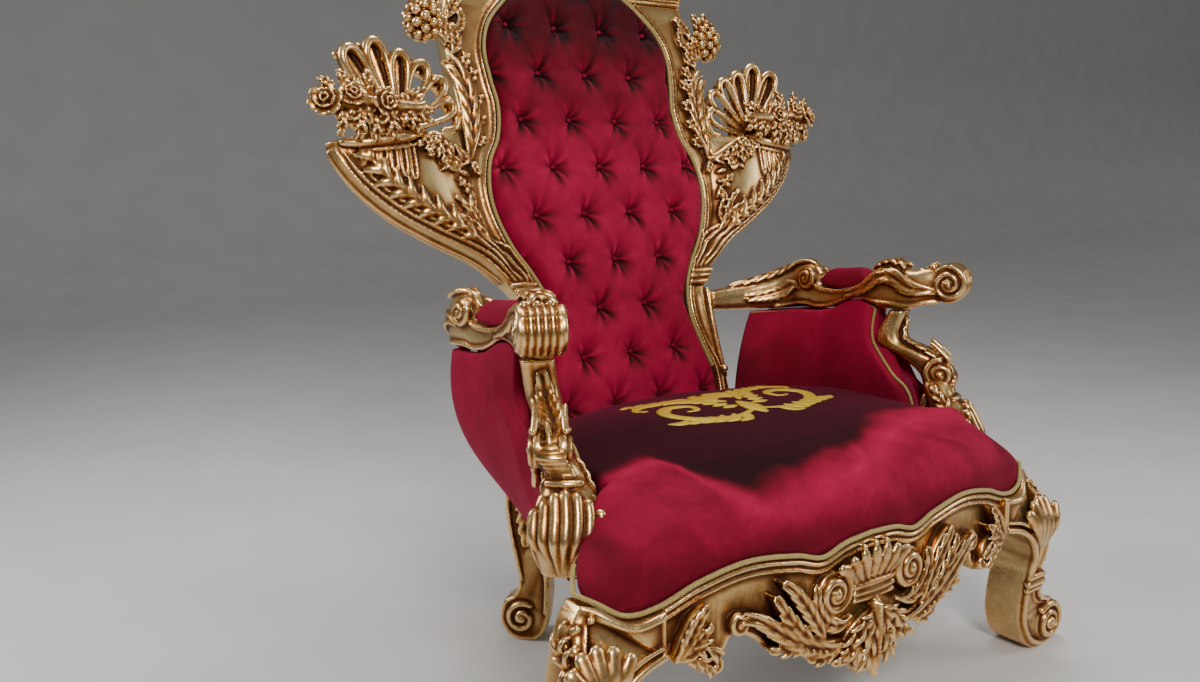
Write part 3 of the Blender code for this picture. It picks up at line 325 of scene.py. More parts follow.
PANEL_SHAPE = ((0.440, 0.80), (0.520, 0.795), (0.580, 0.717), (0.640, 0.651), (0.700, 0.667),
               (0.750, 0.756), (0.800, 0.884), (0.860, 0.977), (0.910, 1.000), (0.965, 0.957),
               (1.010, 0.860), (1.070, 0.818), (1.120, 0.845), (1.180, 0.857), (1.235, 0.775),
               (1.285, 0.581), (1.312, 0.430), (1.328, 0.260), (1.335, 0.100))
WING_EDGE = ((0.376, 0.250), (0.494, 0.246), (0.560, 0.234), (0.620, 0.226), (0.680, 0.224),
             (0.715, 0.238), (0.750, 0.272), (0.786, 0.318), (0.830, 0.402), (0.866, 0.462),
             (0.910, 0.514), (0.957, 0.550), (0.990, 0.563), (1.002, 0.552), (1.010, 0.440),
             (1.018, 0.330), (1.040, 0.302), (1.100, 0.300), (1.150, 0.304), (1.190, 0.306),
             (1.220, 0.303), (1.260, 0.297), (1.300, 0.290))
CORD_LINE = ((0.000, 0.383), (0.060, 0.378), (0.107, 0.366), (0.160, 0.380), (0.250, 0.391),
             (0.335, 0.378), (0.400, 0.356), (0.450, 0.354), (0.500, 0.384), (0.520, 0.388))


def on_back(x, height, forward):
    """Points on the leaning back. height is measured up the plane, forward out of it."""
    x, height, forward = np.broadcast_arrays(np.asarray(x, float), height, forward)
    run = (height - LEAN_HEIGHT) / math.cos(BACK_LEAN)
    return np.stack([x,
                     BACK_AT_LEAN_HEIGHT + SHIFT_Y + run * math.sin(BACK_LEAN)
                     - forward * math.cos(BACK_LEAN),
                     LEAN_HEIGHT + run * math.cos(BACK_LEAN) + forward * math.sin(BACK_LEAN)], -1)


def panel_half(height):
    return PANEL_HALF_WIDTH * curve(PANEL_SHAPE, height)


def panel_arch(x):
    share = np.minimum(np.abs(x) / (0.581 * PANEL_HALF_WIDTH), 1.0)
    return PANEL_TOP - 0.050 * share ** 2.6


def seat_front(x):
    drop = SEAT_MIDDLE_FRONT - SEAM_FRONT
    return SHIFT_Y - SEAT_MIDDLE_FRONT + drop * (np.asarray(x) / SEAM_HALF_WIDTH) ** 2


def cord_line(x):
    return curve(CORD_LINE, np.abs(x))


# Turning clay into carved, gilded pieces

def evaluated(mesh, name, modifiers):
    """The mesh with modifiers applied, as a new mesh."""
    holder = bpy.data.objects.new(name, mesh)
    bpy.context.scene.collection.objects.link(holder)
    for kind, settings in modifiers:
        step = holder.modifiers.new(kind.lower(), kind)
        for key, value in settings.items():
            setattr(step, key, value)
    graph = bpy.context.evaluated_depsgraph_get()
    result = bpy.data.meshes.new_from_object(holder.evaluated_get(graph))
    bpy.data.objects.remove(holder)
    bpy.data.meshes.remove(mesh)
    result.name = name
    return result


def mesh_points(mesh):
    points = np.zeros(len(mesh.vertices) * 3)
    mesh.vertices.foreach_get("co", points)
    return points.reshape(-1, 3)


def mesh_edges(mesh):
    edges = np.zeros(len(mesh.edges) * 2, int)
    mesh.edges.foreach_get("vertices", edges)
    return edges.reshape(-1, 2)


def spread_values(values, edges, degree, rounds):
    """Values averaged over neighbours again and again."""
    count = len(values)
    for _ in range(rounds):
        total = np.zeros_like(values)
        for k in range(values.shape[1]):
            column = values[:, k]
            total[:, k] = (np.bincount(edges[:, 0], column[edges[:, 1]], count)
                           + np.bincount(edges[:, 1], column[edges[:, 0]], count))
        values = 0.4 * values + 0.6 * total / degree[:, None]
    return values


def add_cavity(mesh, scale=0.0011):
    """Stores on each point how deep it lies in the carving: 0 raised, 1 hollow."""
    points = mesh_points(mesh)
    edges = mesh_edges(mesh)
    degree = np.maximum(np.bincount(edges.ravel(), minlength=len(points)), 1).astype(float)
    normals = np.zeros(len(points) * 3)
    mesh.vertices.foreach_get("normal", normals)
    normals = normals.reshape(-1, 3)
    near = spread_values(points, edges, degree, 5)
    far = spread_values(near, edges, degree, 22)
    fine = np.sum((near - points) * normals, 1) / (0.35 * scale)
    broad = np.sum((far - points) * normals, 1) / (2.0 * scale)
    value = np.clip(0.5 + 0.32 * np.tanh(fine) + 0.42 * np.tanh(broad), 0, 1)
    value = spread_values(value[:, None], edges, degree, 1)[:, 0]
    store = mesh.attributes.new("cavity", "FLOAT", "POINT")
    store.data.foreach_set("value", value.astype(np.float32))
    relief = np.abs(np.tanh(fine)) + 0.8 * np.abs(np.tanh(broad))
    relief = spread_values(relief[:, None], edges, degree, 40)[:, 0]
    worked = np.clip((relief - 0.22) / 0.38, 0, 1)
    store = mesh.attributes.new("worked", "FLOAT", "POINT")
    store.data.foreach_set("value", worked.astype(np.float32))


def drop_islands(mesh):
    """Keeps the largest connected body alone."""
    points = len(mesh.vertices)
    edges = mesh_edges(mesh)
    label = np.arange(points)
    while True:
        low = np.minimum(label[edges[:, 0]], label[edges[:, 1]])
        new = label.copy()
        np.minimum.at(new, edges[:, 0], low)
        np.minimum.at(new, edges[:, 1], low)
        new = new[new]
        if np.array_equal(new, label):
            break
        label = new
    names, counts = np.unique(label, return_counts=True)
    if len(names) == 1:
        return
    keep = label == names[np.argmax(counts)]
    body = bmesh.new()
    body.from_mesh(mesh)
    body.verts.ensure_lookup_table()
    bmesh.ops.delete(body, geom=[v for v in body.verts if not keep[v.index]], context="VERTS")
    body.to_mesh(mesh)
    body.free()


def carve(name, clay, budget, voxel=VOXEL, smooth=3):
    """One closed carved mesh out of overlapping clay, thinned to a number of triangles."""
    steps = [("REMESH", {"mode": "VOXEL", "voxel_size": voxel, "use_smooth_shade": True}),
             ("SMOOTH", {"iterations": smooth, "factor": 0.5})]
    mesh = evaluated(clay.mesh(name), name, steps)
    drop_islands(mesh)
    add_cavity(mesh)
    mesh.calc_loop_triangles()
    count = len(mesh.loop_triangles)
    if count > budget:
        mesh = evaluated(mesh, name, [("DECIMATE", {"ratio": budget / count})])
    mesh.shade_smooth()
    return mesh


def mirrored(mesh, name):
    """A copy of a mesh for the other side of the throne."""
    copy = mesh.copy()
    copy.name = name
    points = mesh_points(copy)
    points[:, 0] *= -1
    copy.vertices.foreach_set("co", points.ravel())
    copy.flip_normals()
    copy.update()
    return copy


def place_piece(name, mesh, node, material):
    """Puts a finished mesh in the scene in place of its CAD node."""
    piece = bpy.data.objects.new(name, mesh)
    bpy.context.scene.collection.objects.link(piece)
    mesh.materials.clear()
    mesh.materials.append(material)
    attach(piece, "root")
    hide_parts(node)
    return piece


def place_pair(name, mesh, material):
    """A right-hand piece and its mirror image on the left."""
    right = place_piece(name + "_right_looks", mesh, name + "_right", material)
    left = place_piece(name + "_left_looks", mirrored(mesh, name + "_left_looks"), name + "_left",
                       material)
    return right, left


# Materials

def new_material(name):
    made = bpy.data.materials.new(name)
    made.use_nodes = True
    tree = made.node_tree
    return made, tree, tree.nodes["Principled BSDF"]


def add_node(tree, kind, **settings):
    node = tree.nodes.new(kind)
    for key, value in settings.items():
        setattr(node, key, value)
    return node


def noise(tree, scale, detail=3.0, rough=0.5, distortion=0.0, source=None):
    node = add_node(tree, "ShaderNodeTexNoise")
    node.inputs["Scale"].default_value = scale
    node.inputs["Detail"].default_value = detail
    node.inputs["Roughness"].default_value = rough
    node.inputs["Distortion"].default_value = distortion
    if source is not None:
        tree.links.new(source, node.inputs["Vector"])
    return node.outputs["Fac"]


def ramp(tree, source, stops):
    node = add_node(tree, "ShaderNodeValToRGB")
    band = node.color_ramp
    band.elements[0].position = stops[0][0]
    band.elements[0].color = (*stops[0][1], 1)
    band.elements[1].position = stops[-1][0]
    band.elements[1].color = (*stops[-1][1], 1)
    for position, colour in stops[1:-1]:
        band.elements.new(position).color = (*colour, 1)
    tree.links.new(source, node.inputs["Fac"])
    return node.outputs["Color"]


def math_node(tree, operation, first, second, clamp=False):
    node = add_node(tree, "ShaderNodeMath", operation=operation, use_clamp=clamp)
    for slot_, value in zip(node.inputs, (first, second)):
        if isinstance(value, (int, float)):
            slot_.default_value = value
        else:
            tree.links.new(value, slot_)
    return node.outputs["Value"]


def map_range(tree, source, low, high, to_low, to_high):
    node = add_node(tree, "ShaderNodeMapRange")
    node.inputs["From Min"].default_value = low
    node.inputs["From Max"].default_value = high
    node.inputs["To Min"].default_value = to_low
    node.inputs["To Max"].default_value = to_high
    tree.links.new(source, node.inputs["Value"])
    return node.outputs["Result"]


def bump(tree, shader, height, strength, distance):
    node = add_node(tree, "ShaderNodeBump")
    node.inputs["Strength"].default_value = strength
    node.inputs["Distance"].default_value = distance
    tree.links.new(height, node.inputs["Height"])
    tree.links.new(node.outputs["Normal"], shader.inputs["Normal"])


def object_place(tree):
    return add_node(tree, "ShaderNodeTexCoord").outputs["Object"]


def mixed(tree, share, first, second):
    node = add_node(tree, "ShaderNodeMix", data_type="RGBA")
    tree.links.new(share, node.inputs["Factor"])
    tree.links.new(first, node.inputs[6])
    tree.links.new(second, node.inputs[7])
    return node.outputs[2]


def gilt_material(name="gilt_looks"):
    """Gold leaf: champagne where it is plain, orange-brown glaze over the carving, pale on its heights, and
    painted shade darkening the deepest hollows almost to black.
    """
    made, tree, shader = new_material(name)
    place = object_place(tree)
    cavity = add_node(tree, "ShaderNodeAttribute", attribute_name="cavity").outputs["Fac"]
    worked = add_node(tree, "ShaderNodeAttribute", attribute_name="worked").outputs["Fac"]
    cloud = noise(tree, 26, 4, 0.6, 0.4, place)
    streak = noise(tree, 90, 3, 0.65, 1.2, place)
    depth = math_node(tree, "ADD", cavity, map_range(tree, cloud, 0.3, 0.7, -0.09, 0.09))
    depth = math_node(tree, "ADD", depth, map_range(tree, streak, 0.3, 0.7, -0.05, 0.05))
    # Both ramps darken with depth: orange-brown glaze and bole in the hollows, then painted shade, nearly
    # black, in the deepest ones.
    plain = ramp(tree, depth, ((0.15, (0.80, 0.62, 0.33)), (0.50, (0.62, 0.445, 0.195)),
                               (0.68, (0.46, 0.26, 0.085)), (0.90, (0.20, 0.080, 0.018))))
    carved = ramp(tree, depth, ((0.08, (0.80, 0.54, 0.25)), (0.28, (0.60, 0.315, 0.100)),
                                (0.48, (0.38, 0.155, 0.036)), (0.70, (0.17, 0.052, 0.009)),
                                (0.92, (0.060, 0.015, 0.003))))
    tree.links.new(mixed(tree, worked, plain, carved), shader.inputs["Base Color"])
    rough = ramp(tree, depth, ((0.2, (0.26, 0.26, 0.26)), (0.6, (0.34, 0.34, 0.34)),
                               (0.9, (0.50, 0.50, 0.50))))
    wear = map_range(tree, noise(tree, 180, 2, 0.6, 0.0, place), 0.3, 0.7, -0.04, 0.06)
    tree.links.new(math_node(tree, "ADD", rough, wear), shader.inputs["Roughness"])
    tree.links.new(map_range(tree, depth, 0.45, 1.0, 0.97, 0.62), shader.inputs["Metallic"])
    grain = noise(tree, 420, 3, 0.6, 0.3, place)
    bump(tree, shader, math_node(tree, "ADD", grain, map_range(tree, cloud, 0, 1, 0, 1.5)), 0.06, 0.0008)
    return made


def velvet_material(name, bright=1.0, use_pile_tone_and_light=True):
    """Crimson pile velvet. A value on each point sets its tone: the pile's own variation, plus painted shade
    and painted highlights on some pieces.
    """
    made, tree, shader = new_material(name)
    place = object_place(tree)
    patches = noise(tree, 9, 4, 0.62, 1.4, place)
    fine = noise(tree, 46, 4, 0.65, 0.8, place)
    pile = noise(tree, 950, 2, 0.5, 0.0, place)
    level = map_range(tree, patches, 0.30, 0.70, -0.06, 0.06)
    level = math_node(tree, "ADD", level, map_range(tree, fine, 0.3, 0.7, -0.035, 0.035))
    level = math_node(tree, "ADD", level, map_range(tree, pile, 0.3, 0.7, -0.03, 0.03))
    if use_pile_tone_and_light:
        pile_tone_and_light = add_node(tree, "ShaderNodeAttribute", attribute_name="pile_tone_and_light").outputs["Fac"]
        level = math_node(tree, "ADD", level, pile_tone_and_light)
    else:
        level = math_node(tree, "ADD", level, 0.5)
    # The dark end of this ramp carries painted shade, the bright end painted highlights, besides the velvet's
    # own variation in tone.
    colour = ramp(tree, level, ((0.05, (0.011, 0.0006, 0.0014)), (0.30, (0.060, 0.0013, 0.0046)),
                                (0.55, (0.170 * bright, 0.0028, 0.0170)),
                                (0.80, (0.34 * bright, 0.0060, 0.042)),
                                (1.0, (0.50 * bright, 0.022, 0.090))))
    tree.links.new(colour, shader.inputs["Base Color"])
    shader.inputs["Roughness"].default_value = 0.78
    shader.inputs["Specular IOR Level"].default_value = 0.12
    shader.inputs["Sheen Weight"].default_value = 0.22
    shader.inputs["Sheen Roughness"].default_value = 0.38
    shader.inputs["Sheen Tint"].default_value = (0.85, 0.06, 0.21, 1)
    bump(tree, shader, math_node(tree, "ADD", pile, map_range(tree, fine, 0, 1, 0, 0.8)), 0.22, 0.0009)
    return made


def cord_material():
    """Twisted olive-gold thread."""
    made, tree, shader = new_material("gimp_looks")
    place = object_place(tree)
    thread = noise(tree, 700, 2, 0.5, 0.0, place)
    colour = ramp(tree, thread, ((0.30, (0.19, 0.125, 0.022)), (0.55, (0.40, 0.29, 0.070)),
                                 (0.75, (0.62, 0.49, 0.17))))
    tree.links.new(colour, shader.inputs["Base Color"])
    shader.inputs["Roughness"].default_value = 0.48
    shader.inputs["Metallic"].default_value = 0.25
    shader.inputs["Sheen Weight"].default_value = 0.3
    bump(tree, shader, thread, 0.3, 0.0006)
    return made


def embroidery_material():
    """Gold thread laid in close stitches."""
    made, tree, shader = new_material("embroidery_looks")
    place = object_place(tree)
    stitch = add_node(tree, "ShaderNodeTexWave", wave_type="BANDS", bands_direction="DIAGONAL")
    stitch.inputs["Scale"].default_value = 320
    stitch.inputs["Distortion"].default_value = 2.5
    tree.links.new(place, stitch.inputs["Vector"])
    colour = ramp(tree, stitch.outputs["Fac"], ((0.1, (0.42, 0.26, 0.010)), (0.5, (0.70, 0.46, 0.022)),
                                                (0.9, (0.88, 0.66, 0.070))))
    tree.links.new(colour, shader.inputs["Base Color"])
    shader.inputs["Roughness"].default_value = 0.42
    shader.inputs["Metallic"].default_value = 0.45
    bump(tree, shader, stitch.outputs["Fac"], 0.35, 0.0006)
    return made


def wood_material():
    """Sanded wood under the gilding, seen only from below."""
    made, tree, shader = new_material("frame_wood_looks")
    place = object_place(tree)
    grain = noise(tree, 14, 5, 0.6, 2.0, place)
    colour = ramp(tree, grain, ((0.3, (0.30, 0.19, 0.08)), (0.7, (0.50, 0.35, 0.16))))
    tree.links.new(colour, shader.inputs["Base Color"])
    shader.inputs["Roughness"].default_value = 0.5
    shader.inputs["Metallic"].default_value = 0.5
    bump(tree, shader, grain, 0.2, 0.001)
    return made


GILT = gilt_material()
VELVET = velvet_material("velvet_looks")
CORD = cord_material()
THREAD = embroidery_material()
WOOD = wood_material()


# Back wings

HORN_SWELL = ((0.735, 0.000), (0.775, 0.013), (0.830, 0.022), (0.900, 0.032), (0.992, 0.034),
              (1.012, 0.022), (1.030, 0.000))
HORN_ROOT = ((0.735, 0.232), (0.800, 0.262), (0.860, 0.292), (1.020, 0.300))
HORN_BACK = ((0.735, 0.004), (0.800, 0.016), (0.880, 0.026), (0.990, 0.028), (1.018, 0.004))
MOUTH_OUTER = 1.000


def swell(x, height):
    """How far the horn of plenty stands forward of the flat frame."""
    root = curve(HORN_ROOT, height)
    edge = curve(WING_EDGE, np.minimum(height, MOUTH_OUTER))
    across = np.clip((x - root) / (edge - root), 0.0, 1.0)
    return np.maximum(curve(HORN_SWELL, height), 0) * np.maximum(np.sin(math.pi * across), 0) ** 0.75


def wing_face(x, height, lift=0.0):
    x = np.asarray(x, float)
    height = np.asarray(height, float)
    return on_back(x, height, swell(x, height) + lift)


def bell(distance, width):
    return np.exp(-(distance / width) ** 2)


def wing_body(clay):
    """The stile and the horn with its mouldings, as one dense board."""
    heights = np.concatenate([np.arange(0.3875, 0.98, 0.0035), np.arange(0.98, 1.024, 0.0015),
                              np.arange(1.024, WING_TOP, 0.004), [WING_TOP]])
    columns = 70
    share = np.linspace(0, 1, columns)
    inner = panel_half(heights) + 2 * CORD_RADIUS
    outer = curve(WING_EDGE, heights)
    outer_slope = np.gradient(outer, heights)
    inner_slope = np.gradient(inner, heights)
    x = inner[:, None] + (outer - inner)[:, None] * share[None]
    h = np.broadcast_to(heights[:, None], x.shape)
    from_inner = (x - inner[:, None]) / np.sqrt(1 + np.minimum(inner_slope ** 2, 9))[:, None]
    from_outer = (outer[:, None] - x) / np.sqrt(1 + np.minimum(outer_slope ** 2, 9))[:, None]
    lift = 0.0045 * bell(from_inner - 0.0055, 0.0032) + 0.0030 * bell(from_inner - 0.0135, 0.0028)
    lift = lift - 0.0018 * bell(from_inner - 0.0098, 0.0018)
    horn = np.clip((h - 0.735) / 0.03, 0, 1) * np.clip((0.992 - h) / 0.03, 0, 1)
    lift = lift + horn * 0.0062 * (bell(from_outer - 0.0050, 0.0040) + bell(from_outer - 0.0148, 0.0040))
    lift = lift - horn * 0.0038 * (bell(from_outer - 0.0100, 0.0020) + bell(from_outer - 0.0198, 0.0020))
    for offset, tall in ((0.0250, 1.00), (0.0355, 0.94), (0.0460, 0.88)):
        reed = horn * np.clip((tall - h) / 0.06, 0, 1)
        lift = lift + reed * (0.0050 * bell(from_outer - offset, 0.0038)
                              - 0.0035 * bell(from_outer - offset - 0.0054, 0.0020))
    lower = np.clip((0.70 - h) / 0.03, 0, 1)
    lift = lift + lower * (0.006 * bell(from_outer - 0.012, 0.009))
    upper = np.clip((h - 1.03) / 0.03, 0, 1)
    lift = lift + upper * 0.003 * bell(from_outer - 0.006, 0.005)
    edge = np.minimum(from_inner, from_outer)
    lift = lift - 0.008 * np.clip(1 - edge / 0.005, 0, 1) ** 2
    front = wing_face(x, h, lift)
    turned = curve(HORN_BACK, heights)
    sides = np.stack([on_back(outer - 0.2 * turned, heights, -0.6 * BOARD_THICKNESS),
                      on_back(outer - 0.55 * turned, heights, -0.88 * BOARD_THICKNESS)], 1)
    back = np.stack([on_back(outer - turned, heights, -BOARD_THICKNESS),
                     on_back((inner + outer - turned) / 2, heights, -BOARD_THICKNESS),
                     on_back(inner + 0.002, heights, -BOARD_THICKNESS)], 1)
    clay.loft(np.concatenate([front, sides, back], 1))


def wing_leafwork(clay):
    """Acanthus, flutes, rim, ring and the hanging string of flowers on a wing."""
    def line(points, lift=0.0, steps=10):
        flat = spline(points, steps)
        return wing_face(flat[:, 0], flat[:, 1], lift)

    for h, r in ((0.707, 0.0065), (0.719, 0.0085), (0.730, 0.0060)):
        x0 = float(panel_half(h)) + 0.012
        x1 = float(curve(WING_EDGE, h)) + 0.001
        tube(clay, on_back(np.linspace(x0, x1, 12), h, 0.004), (0.7 * r, r, 0.8 * r), up=BACK_NORMAL)

    rows = np.linspace(0.742, 0.984, 60)
    for inset, depth, size in ((0.02, -0.012, 0.0058), (0.16, -0.024, 0.0056), (0.42, -0.036, 0.0054)):
        wall = on_back(curve(WING_EDGE, rows) - inset * curve(HORN_BACK, rows), rows, depth)
        tube(clay, wall, (0.6 * size, size, size, 0.7 * size), up=BACK_NORMAL, sides=10)

    spine = [(0.292, 0.800), (0.340, 0.838), (0.395, 0.868), (0.450, 0.905), (0.490, 0.945), (0.512, 0.984)]
    tube(clay, line(spine, 0.004), (0.003, 0.0055, 0.005, 0.003), up=BACK_NORMAL)
    flat = even(spline(spine, 10), 11)
    ahead = unit(np.gradient(flat, axis=0))
    for i in range(1, 10):
        for sense, reach, turn in ((1, 0.050, 0.50), (-1, 0.036, 0.60)):
            start = flat[i]
            way = ahead[i]
            angle = math.atan2(way[1], way[0]) + sense * turn
            size = reach * (0.75 + 0.35 * math.sin(math.pi * i / 10))
            if sense > 0 and i > 7:
                size *= 0.55
            tip = start + size * np.array((math.cos(angle), math.sin(angle)))
            middle = (start + tip) / 2 + 0.16 * size * np.array((-math.sin(angle), math.cos(angle))) * -sense
            path = line([start, middle, tip], 0.002, 6)
            leaf(clay, path, (0.0035, 0.0088, 0.0085, 0.0030), BACK_NORMAL, 0.0085, 2)
    for points, width in (([(0.283, 0.812), (0.322, 0.846), (0.366, 0.868)], 0.008),
                          ([(0.300, 0.826), (0.326, 0.872), (0.352, 0.896)], 0.0075),
                          ([(0.292, 0.818), (0.300, 0.856), (0.316, 0.884)], 0.0065)):
        leaf(clay, line(points, 0.001), (0.003, width, width * 0.8, 0.002), BACK_NORMAL, 0.006, 4)

    for k in range(6):
        x = 0.428 + 0.0170 * k
        low = 0.925 + 0.006 * k
        loop = [(x - 0.0050, 0.984), (x - 0.0050, low + 0.012), (x, low), (x + 0.0050, low + 0.012),
                (x + 0.0050, 0.984)]
        tube(clay, line(loop, 0.003, 6), (0.0030, 0.0034, 0.0030), up=BACK_NORMAL, sides=6)

    rim = [(0.395, 1.006), (0.430, 0.997), (0.475, 0.991), (0.520, 0.989), (0.548, 0.992)]
    tube(clay, line(rim, 0.009), (0.0055, 0.0095, 0.0100, 0.0090, 0.0060), up=BACK_NORMAL, sides=10)
    lower_rim = [(0.402, 0.987), (0.440, 0.980), (0.480, 0.976), (0.520, 0.977)]
    tube(clay, line(lower_rim, 0.006), (0.002, 0.0035, 0.0035, 0.002), up=BACK_NORMAL, sides=6)

    crown = [(0.296, 0.962), (0.290, 0.990), (0.283, 1.030), (0.281, 1.075), (0.288, 1.112), (0.303, 1.142),
             (0.322, 1.150)]
    leaf(clay, line(crown, 0.003), (0.006, 0.013, 0.017, 0.017, 0.015, 0.010), BACK_NORMAL, 0.010, 5, 0.012,
         curl=0.6)
    edge = [(0.302, 0.975), (0.301, 1.020), (0.300, 1.070), (0.306, 1.110), (0.322, 1.138)]
    tube(clay, line(edge, 0.010), (0.003, 0.0045, 0.0045, 0.003), up=BACK_NORMAL, sides=6)
    for x, h, tip_x, tip_h in ((0.283, 0.992, 0.262, 1.012), (0.281, 1.024, 0.255, 1.052),
                               (0.279, 1.062, 0.252, 1.092), (0.282, 1.102, 0.258, 1.138),
                               (0.288, 1.130, 0.270, 1.168)):
        path = line([(x, h), ((x + tip_x) / 2 - 0.004, (h + tip_h) / 2), (tip_x, tip_h)], 0.002)
        leaf(clay, path, (0.003, 0.008, 0.0105, 0.007), BACK_NORMAL, 0.008, 3)

    sweep = [(0.296, 0.966), (0.318, 0.974), (0.346, 0.990), (0.372, 1.004)]
    tube(clay, line(sweep, 0.008), (0.005, 0.007, 0.0065, 0.004), up=BACK_NORMAL)
    for points, width in (([(0.300, 0.962), (0.322, 0.962), (0.346, 0.972), (0.352, 0.990)], 0.010),
                          ([(0.296, 0.962), (0.288, 0.944), (0.280, 0.938)], 0.008),
                          ([(0.370, 0.992), (0.386, 0.970), (0.402, 0.968)], 0.011),
                          ([(0.362, 0.996), (0.360, 0.970), (0.372, 0.950)], 0.010),
                          ([(0.388, 1.000), (0.402, 0.985), (0.420, 0.984)], 0.009)):
        leaf(clay, line(points, 0.004), (0.003, width, width, 0.003), BACK_NORMAL, 0.009, 3, 0.010,
             curl=0.5)
    volute(clay, (0.376, 0.996), 0.013, 1.1, 0.4, 1, lambda a, b, c: wing_face(a, b, 0.010 + c),
           0.0045, 0.003, up=BACK_NORMAL, dish=False)

    string = even(spline([(0.356, 0.972), (0.338, 0.944), (0.322, 0.918), (0.306, 0.884)], 8), 9)
    generator = np.random.default_rng(5)
    for i, (x, h) in enumerate(string):
        size = 0.0085 - 0.0004 * i
        spread = 0.012 * math.sin(math.pi * (i + 1) / 10)
        for k in range(3 if i % 2 == 0 else 2):
            dx, dh = generator.uniform(-1, 1, 2) * spread
            blob(clay, wing_face(x + dx, h + dh, 0.004 + 0.002 * k), size * generator.uniform(0.7, 1.0),
                 None, 8, 5)
    small_flower(clay, wing_face(0.342, 0.950, 0.010), BACK_NORMAL, 0.016)
    for a, b in (((0.312, 0.905), (0.298, 0.880)), ((0.314, 0.900), (0.318, 0.872)),
                 ((0.350, 0.955), (0.372, 0.940)), ((0.330, 0.940), (0.306, 0.936))):
        leaf(clay, line([a, ((a[0] + b[0]) / 2, (a[1] + b[1]) / 2), b], 0.003), (0.002, 0.006, 0.005, 0.002),
             BACK_NORMAL, 0.006, 2)

    for points, width in (([(0.302, 1.160), (0.288, 1.188), (0.296, 1.222)], 0.012),
                          ([(0.308, 1.180), (0.312, 1.205), (0.304, 1.235)], 0.010),
                          ([(0.284, 1.200), (0.270, 1.226), (0.272, 1.252)], 0.009),
                          ([(0.298, 1.228), (0.284, 1.256), (0.262, 1.272)], 0.011)):
        leaf(clay, line(points, 0.003), (0.003, width, width * 0.9, 0.003), BACK_NORMAL, 0.008, 4, 0.008,
             curl=0.4)

    foot = [(0.2280, 0.690), (0.2285, 0.620), (0.2330, 0.560), (0.2400, 0.505)]
    tube(clay, line(foot, 0.004), (0.006, 0.007, 0.006, 0.004), up=BACK_NORMAL)
    blob(clay, on_back(0.234, 0.520, 0.010), 0.009)


def build_wings():
    clay = Clay()
    wing_body(clay)
    wing_leafwork(clay)
    place_pair("back_wing", carve("back_wing_right_looks", clay, 82000), GILT)


# Shell above each horn, with the flowers in front of it

FAN_REACH = ((-4, 0.100), (20, 0.115), (45, 0.150), (58, 0.176), (73, 0.176), (92, 0.154), (111, 0.149),
             (134, 0.146), (154, 0.132), (166, 0.116), (176, 0.094))
FAN_LOBES = 6
FAN_FIRST = 48
FAN_LOBE = 19.4
HUB_X = 0.428
HUB_HEIGHT = 1.018 - (HUB_X - 0.330) * 0.072


def fan_point(degrees, reach, lift):
    angle = np.radians(degrees)
    share = reach / 0.15
    lean = 0.020 - 0.034 * np.asarray(degrees) / 176
    return on_back(HUB_X + reach * np.cos(angle), HUB_HEIGHT + 0.002 + reach * np.sin(angle),
                   lean * share ** 2 + lift)


def fan_lobe(clay, middle, half, top, opening):
    """One arch of the shell: a rounded rim around a dished leaf, with an opening where the photo has one."""
    turn = np.linspace(0, 1, 37)
    angle = middle + half * 0.96 * np.cos(math.pi * turn)
    reach = top * (0.22 + 0.78 * np.sin(math.pi * turn) ** 0.34) - 0.009
    lift = 0.010 + 0.005 * np.sin(math.pi * turn)
    tube(clay, fan_point(angle, reach, lift), (0.0060, 0.0078, 0.0092, 0.0078, 0.0060), up=BACK_NORMAL,
         sides=10)
    spans = ((0.10, 0.93),) if opening is None else ((0.10, opening[0]), (opening[1], 0.93))
    for low, high in spans:
        rings = []
        for share in np.linspace(low, high, 11):
            spread = half * 1.00 * math.sqrt(max(0.10, 1 - max(0.0, (share - 0.62) / 0.36) ** 3))
            u = np.linspace(-1, 1, 13)
            degrees = middle + spread * u
            front = fan_point(degrees, top * share, 0.002 + 0.007 * u ** 2 + 0.005 * np.exp(-(u / 0.22) ** 2))
            back = fan_point(degrees[::-1], top * share, -0.009)
            rings.append(np.concatenate([front, back]))
        clay.loft(rings)


def build_fans():
    clay = Clay()
    for lobe in range(FAN_LOBES):
        middle = FAN_FIRST + FAN_LOBE * (lobe + 0.5)
        top = float(curve(FAN_REACH, middle))
        opening = {5: (0.42, 0.84), 4: (0.56, 0.82), 3: (0.62, 0.82)}.get(lobe)
        fan_lobe(clay, middle, FAN_LOBE * 0.5, top, opening)
    for degrees in (-3, 12, 30):
        top = float(curve(FAN_REACH, degrees + 8)) * 0.92
        path = fan_point(np.linspace(degrees, degrees + 14, 9), np.linspace(0.03, top, 9), 0.006)
        leaf(clay, path, (0.008, 0.016, 0.017, 0.008), BACK_NORMAL, 0.010, 3, sink=0.012)
    degrees = np.linspace(-4, 176, 30)
    clay.loft([np.concatenate([fan_point(degrees, r, 0.007), fan_point(degrees[::-1], r, -0.008)])
               for r in (0.006, 0.02, 0.035, 0.052)])
    arm = [(0.322, 1.080), (0.313, 1.060), (0.311, 1.040), (0.320, 1.024), (0.345, 1.020)]
    flat = spline(arm, 8)
    tube(clay, on_back(flat[:, 0], flat[:, 1], 0.004), (0.006, 0.0085, 0.009, 0.008, 0.006), up=BACK_NORMAL)
    knobs = ((0.325, 1.076), (0.347, 1.116), (0.394, 1.142), (0.440, 1.148), (0.490, 1.166), (0.530, 1.150))
    for tip in knobs:
        blob(clay, on_back(tip[0], tip[1] - 0.004, 0.012), 0.0085)
    place_pair("shell_fan", carve("shell_fan_right_looks", clay, 24000), GILT)


